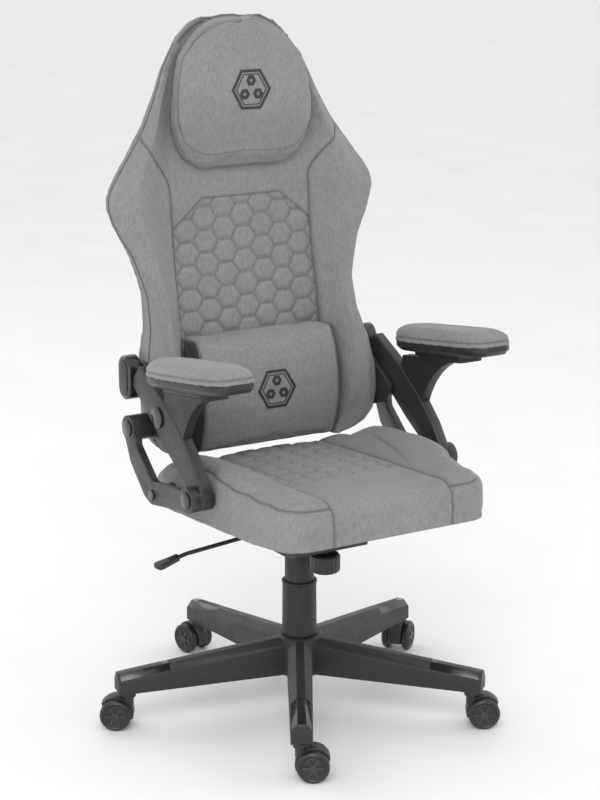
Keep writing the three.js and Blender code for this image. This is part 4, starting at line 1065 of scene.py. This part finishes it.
# A hub, spokes that stand round it and a ring, in the XY plane with the base at Z = 0.
def spokeTree():
    tree, sockets, start, end = newTree("wheelSpokes", spokeSpec)
    hub = node(tree, "GeometryNodeMeshCylinder")
    hub.inputs["Vertices"].default_value = 32
    raised = node(tree, "GeometryNodeTransform")
    lift = node(tree, "ShaderNodeCombineXYZ")
    ring = node(tree, "GeometryNodeMeshCircle", fill_type="NONE")
    spoke = node(tree, "GeometryNodeMeshCube")
    size = node(tree, "ShaderNodeCombineXYZ")
    length = math2(tree, "SUBTRACT", start.outputs["Ring Radius"], start.outputs["Hub Radius"])
    span = math2(tree, "ADD", start.outputs["Ring Radius"], start.outputs["Hub Radius"])
    middle = math2(tree, "MULTIPLY", span, 0.5)
    placed = node(tree, "GeometryNodeInstanceOnPoints")
    position = node(tree, "GeometryNodeInputPosition")
    aim = node(tree, "FunctionNodeAlignRotationToVector", axis="X")
    spokesUp = node(tree, "GeometryNodeTransform")
    spokeLift = node(tree, "ShaderNodeCombineXYZ")
    rim = node(tree, "GeometryNodeCurvePrimitiveCircle")
    rim.inputs["Resolution"].default_value = 48
    profile = node(tree, "GeometryNodeCurvePrimitiveCircle")
    profile.inputs["Resolution"].default_value = 8
    band = node(tree, "GeometryNodeCurveToMesh")
    both = node(tree, "GeometryNodeJoinGeometry")
    whole = node(tree, "GeometryNodeRealizeInstances")
    finish = node(tree, "GeometryNodeSetMaterial")
    link(tree, [
        (start.outputs["Hub Radius"], hub.inputs["Radius"]),
        (start.outputs["Hub Height"], hub.inputs["Depth"]),
        (hub.outputs["Mesh"], raised.inputs["Geometry"]),
        (math2(tree, "MULTIPLY", start.outputs["Hub Height"], 0.5), lift.inputs["Z"]),
        (lift.outputs[0], raised.inputs["Translation"]),
        (start.outputs["Count"], ring.inputs["Vertices"]),
        (middle, ring.inputs["Radius"]),
        (length, size.inputs["X"]),
        (start.outputs["Spoke Width"], size.inputs["Y"]),
        (start.outputs["Spoke Height"], size.inputs["Z"]),
        (size.outputs[0], spoke.inputs["Size"]),
        (ring.outputs["Mesh"], placed.inputs["Points"]),
        (spoke.outputs["Mesh"], placed.inputs["Instance"]),
        (position.outputs[0], aim.inputs["Vector"]),
        (aim.outputs["Rotation"], placed.inputs["Rotation"]),
        (placed.outputs["Instances"], spokesUp.inputs["Geometry"]),
        (math2(tree, "MULTIPLY", start.outputs["Spoke Height"], 0.5), spokeLift.inputs["Z"]),
        (spokeLift.outputs[0], spokesUp.inputs["Translation"]),
        (start.outputs["Ring Radius"], rim.inputs["Radius"]),
        (start.outputs["Ring Thickness"], profile.inputs["Radius"]),
        (rim.outputs["Curve"], band.inputs["Curve"]),
        (profile.outputs["Curve"], band.inputs["Profile Curve"]),
        (raised.outputs["Geometry"], both.inputs["Geometry"]),
        (spokesUp.outputs["Geometry"], both.inputs["Geometry"]),
        (band.outputs["Mesh"], both.inputs["Geometry"]),
        (both.outputs["Geometry"], whole.inputs["Geometry"]),
        (whole.outputs["Geometry"], finish.inputs["Geometry"]),
        (start.outputs["Finish"], finish.inputs["Material"]),
        (finish.outputs["Geometry"], end.inputs[0]),
    ])
    return tree, sockets


# A field of short ribs in rows and columns, in the XY plane with rows along X.
def ribTree():
    tree, sockets, start, end = newTree("gripRibs", ribSpec)
    field = node(tree, "GeometryNodeMeshGrid")
    rib = node(tree, "GeometryNodeMeshCube")
    size = node(tree, "ShaderNodeCombineXYZ")
    placed = node(tree, "GeometryNodeInstanceOnPoints")
    whole = node(tree, "GeometryNodeRealizeInstances")
    finish = node(tree, "GeometryNodeSetMaterial")
    rowGaps = math2(tree, "SUBTRACT", start.outputs["Rows"], 1.0)
    columnGaps = math2(tree, "SUBTRACT", start.outputs["Columns"], 1.0)
    rowsLength = math2(tree, "MULTIPLY", rowGaps, start.outputs["Pitch"])
    columnsWidth = math2(tree, "MULTIPLY", columnGaps, start.outputs["Across"])
    link(tree, [
        (rowsLength, field.inputs["Size X"]),
        (columnsWidth, field.inputs["Size Y"]),
        (start.outputs["Rows"], field.inputs["Vertices X"]),
        (start.outputs["Columns"], field.inputs["Vertices Y"]),
        (start.outputs["Rib Length"], size.inputs["X"]),
        (start.outputs["Rib Width"], size.inputs["Y"]),
        (start.outputs["Rib Height"], size.inputs["Z"]),
        (size.outputs[0], rib.inputs["Size"]),
        (field.outputs["Mesh"], placed.inputs["Points"]),
        (rib.outputs["Mesh"], placed.inputs["Instance"]),
        (placed.outputs["Instances"], whole.inputs["Geometry"]),
        (whole.outputs["Geometry"], finish.inputs["Geometry"]),
        (start.outputs["Finish"], finish.inputs["Material"]),
        (finish.outputs["Geometry"], end.inputs[0]),
    ])
    return tree, sockets


# The mesh that a tree makes from a dictionary: its lengths are decimal numbers of millimetres, its
# counts are whole numbers, and its finish is the name of a look.
def grown(tree, sockets, spec):
    base = meshPiece("growing", bpy.data.meshes.new("growing"))
    modifier = base.modifiers.new("grow", "NODES")
    modifier.node_group = tree
    for key, value in spec.items():
        if isinstance(value, str):
            value = looks[value]
        elif isinstance(value, float):
            value = value * mm
        modifier[sockets[key]] = value
    base.update_tag()
    mesh = evaluatedMesh(base)
    bpy.data.objects.remove(base)
    return mesh


# One piece on a body from copies of a mesh at several places.
def copiesOf(name, mesh, places, body, bevel):
    form = bmesh.new()
    for matrix in places:
        copy = mesh.copy()
        copy.transform(matrix)
        form.from_mesh(copy)
        bpy.data.meshes.remove(copy)
    bmesh.ops.recalc_face_normals(form, faces=form.faces)
    whole = bpy.data.meshes.new(name)
    form.to_mesh(whole)
    form.free()
    for material in mesh.materials:
        whole.materials.append(material)
    piece = meshPiece(name, whole)
    edges = piece.modifiers.new("edges", "BEVEL")
    edges.width = bevel * mm
    edges.segments = 2
    edges.limit_method = "ANGLE"
    settle(piece)
    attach(piece, body)


def facing(direction, spot):
    rotation = Vector(direction).to_track_quat("Z", "Y").to_matrix().to_4x4()
    return Matrix.Translation(spot) @ rotation


def addWheelSpokes():
    mesh = grown(*spokeTree(), spokeSpec)
    for index in range(1, 6):
        joint = jointNamed(f"wheel_spin_{index}")
        centre, along = Vector(joint["pos_m"]), Vector(joint["axis"]).normalized()
        floor = wheelSpec["dishFloor"] * mm
        places = [facing(along * way, centre + along * way * floor) for way in (-1, 1)]
        copiesOf(f"wheelSpokes_{index}", mesh, places, f"wheels_{index}", 0.3)
    print("wheel spokes grown")


# Ribs on each foot grip's ridge, laid by the grip's own top face.
def addGripRibs():
    mesh = grown(*ribTree(), ribSpec)
    places = []
    for index in range(1, 6):
        grip = nodes[f"foot_grip_{index}"]
        points = pointsOf(grip.data)
        middle = points.mean(axis=0)
        outward = Vector((middle[0] - axis.x, middle[1] - axis.y, 0)).normalized()
        reach = (points[:, :2] - np.array(axis)[:2]) @ np.array(outward)[:2]
        ends = []
        for end in (reach.min(), reach.max()):
            near = points[np.abs(reach - end) < 1.5 * mm]
            top = near[near[:, 2] > near[:, 2].max() - 0.3 * mm].mean(axis=0)
            ends.append(Vector((axis.x, axis.y, 0)) + outward * end + Vector((0, 0, top[2])))
        along = (ends[1] - ends[0]).normalized()
        across = Vector((0, 0, 1)).cross(along).normalized()
        up = along.cross(across)
        turn = Matrix((along, across, up)).transposed().to_4x4()
        places.append(Matrix.Translation((ends[0] + ends[1]) / 2 + up * 0.1 * mm) @ turn)
    copiesOf("gripRibs", mesh, places, "base", 0.3)
    print("grip ribs grown")


# ------------ assembly
addCamera()
addStudio()
finishHardParts()
addBackCushion()
addBackShell()
addSeatCushion()
addHeadPillow()
addLumbarPillow()
addPads()
addWheelSpokes()
addGripRibs()
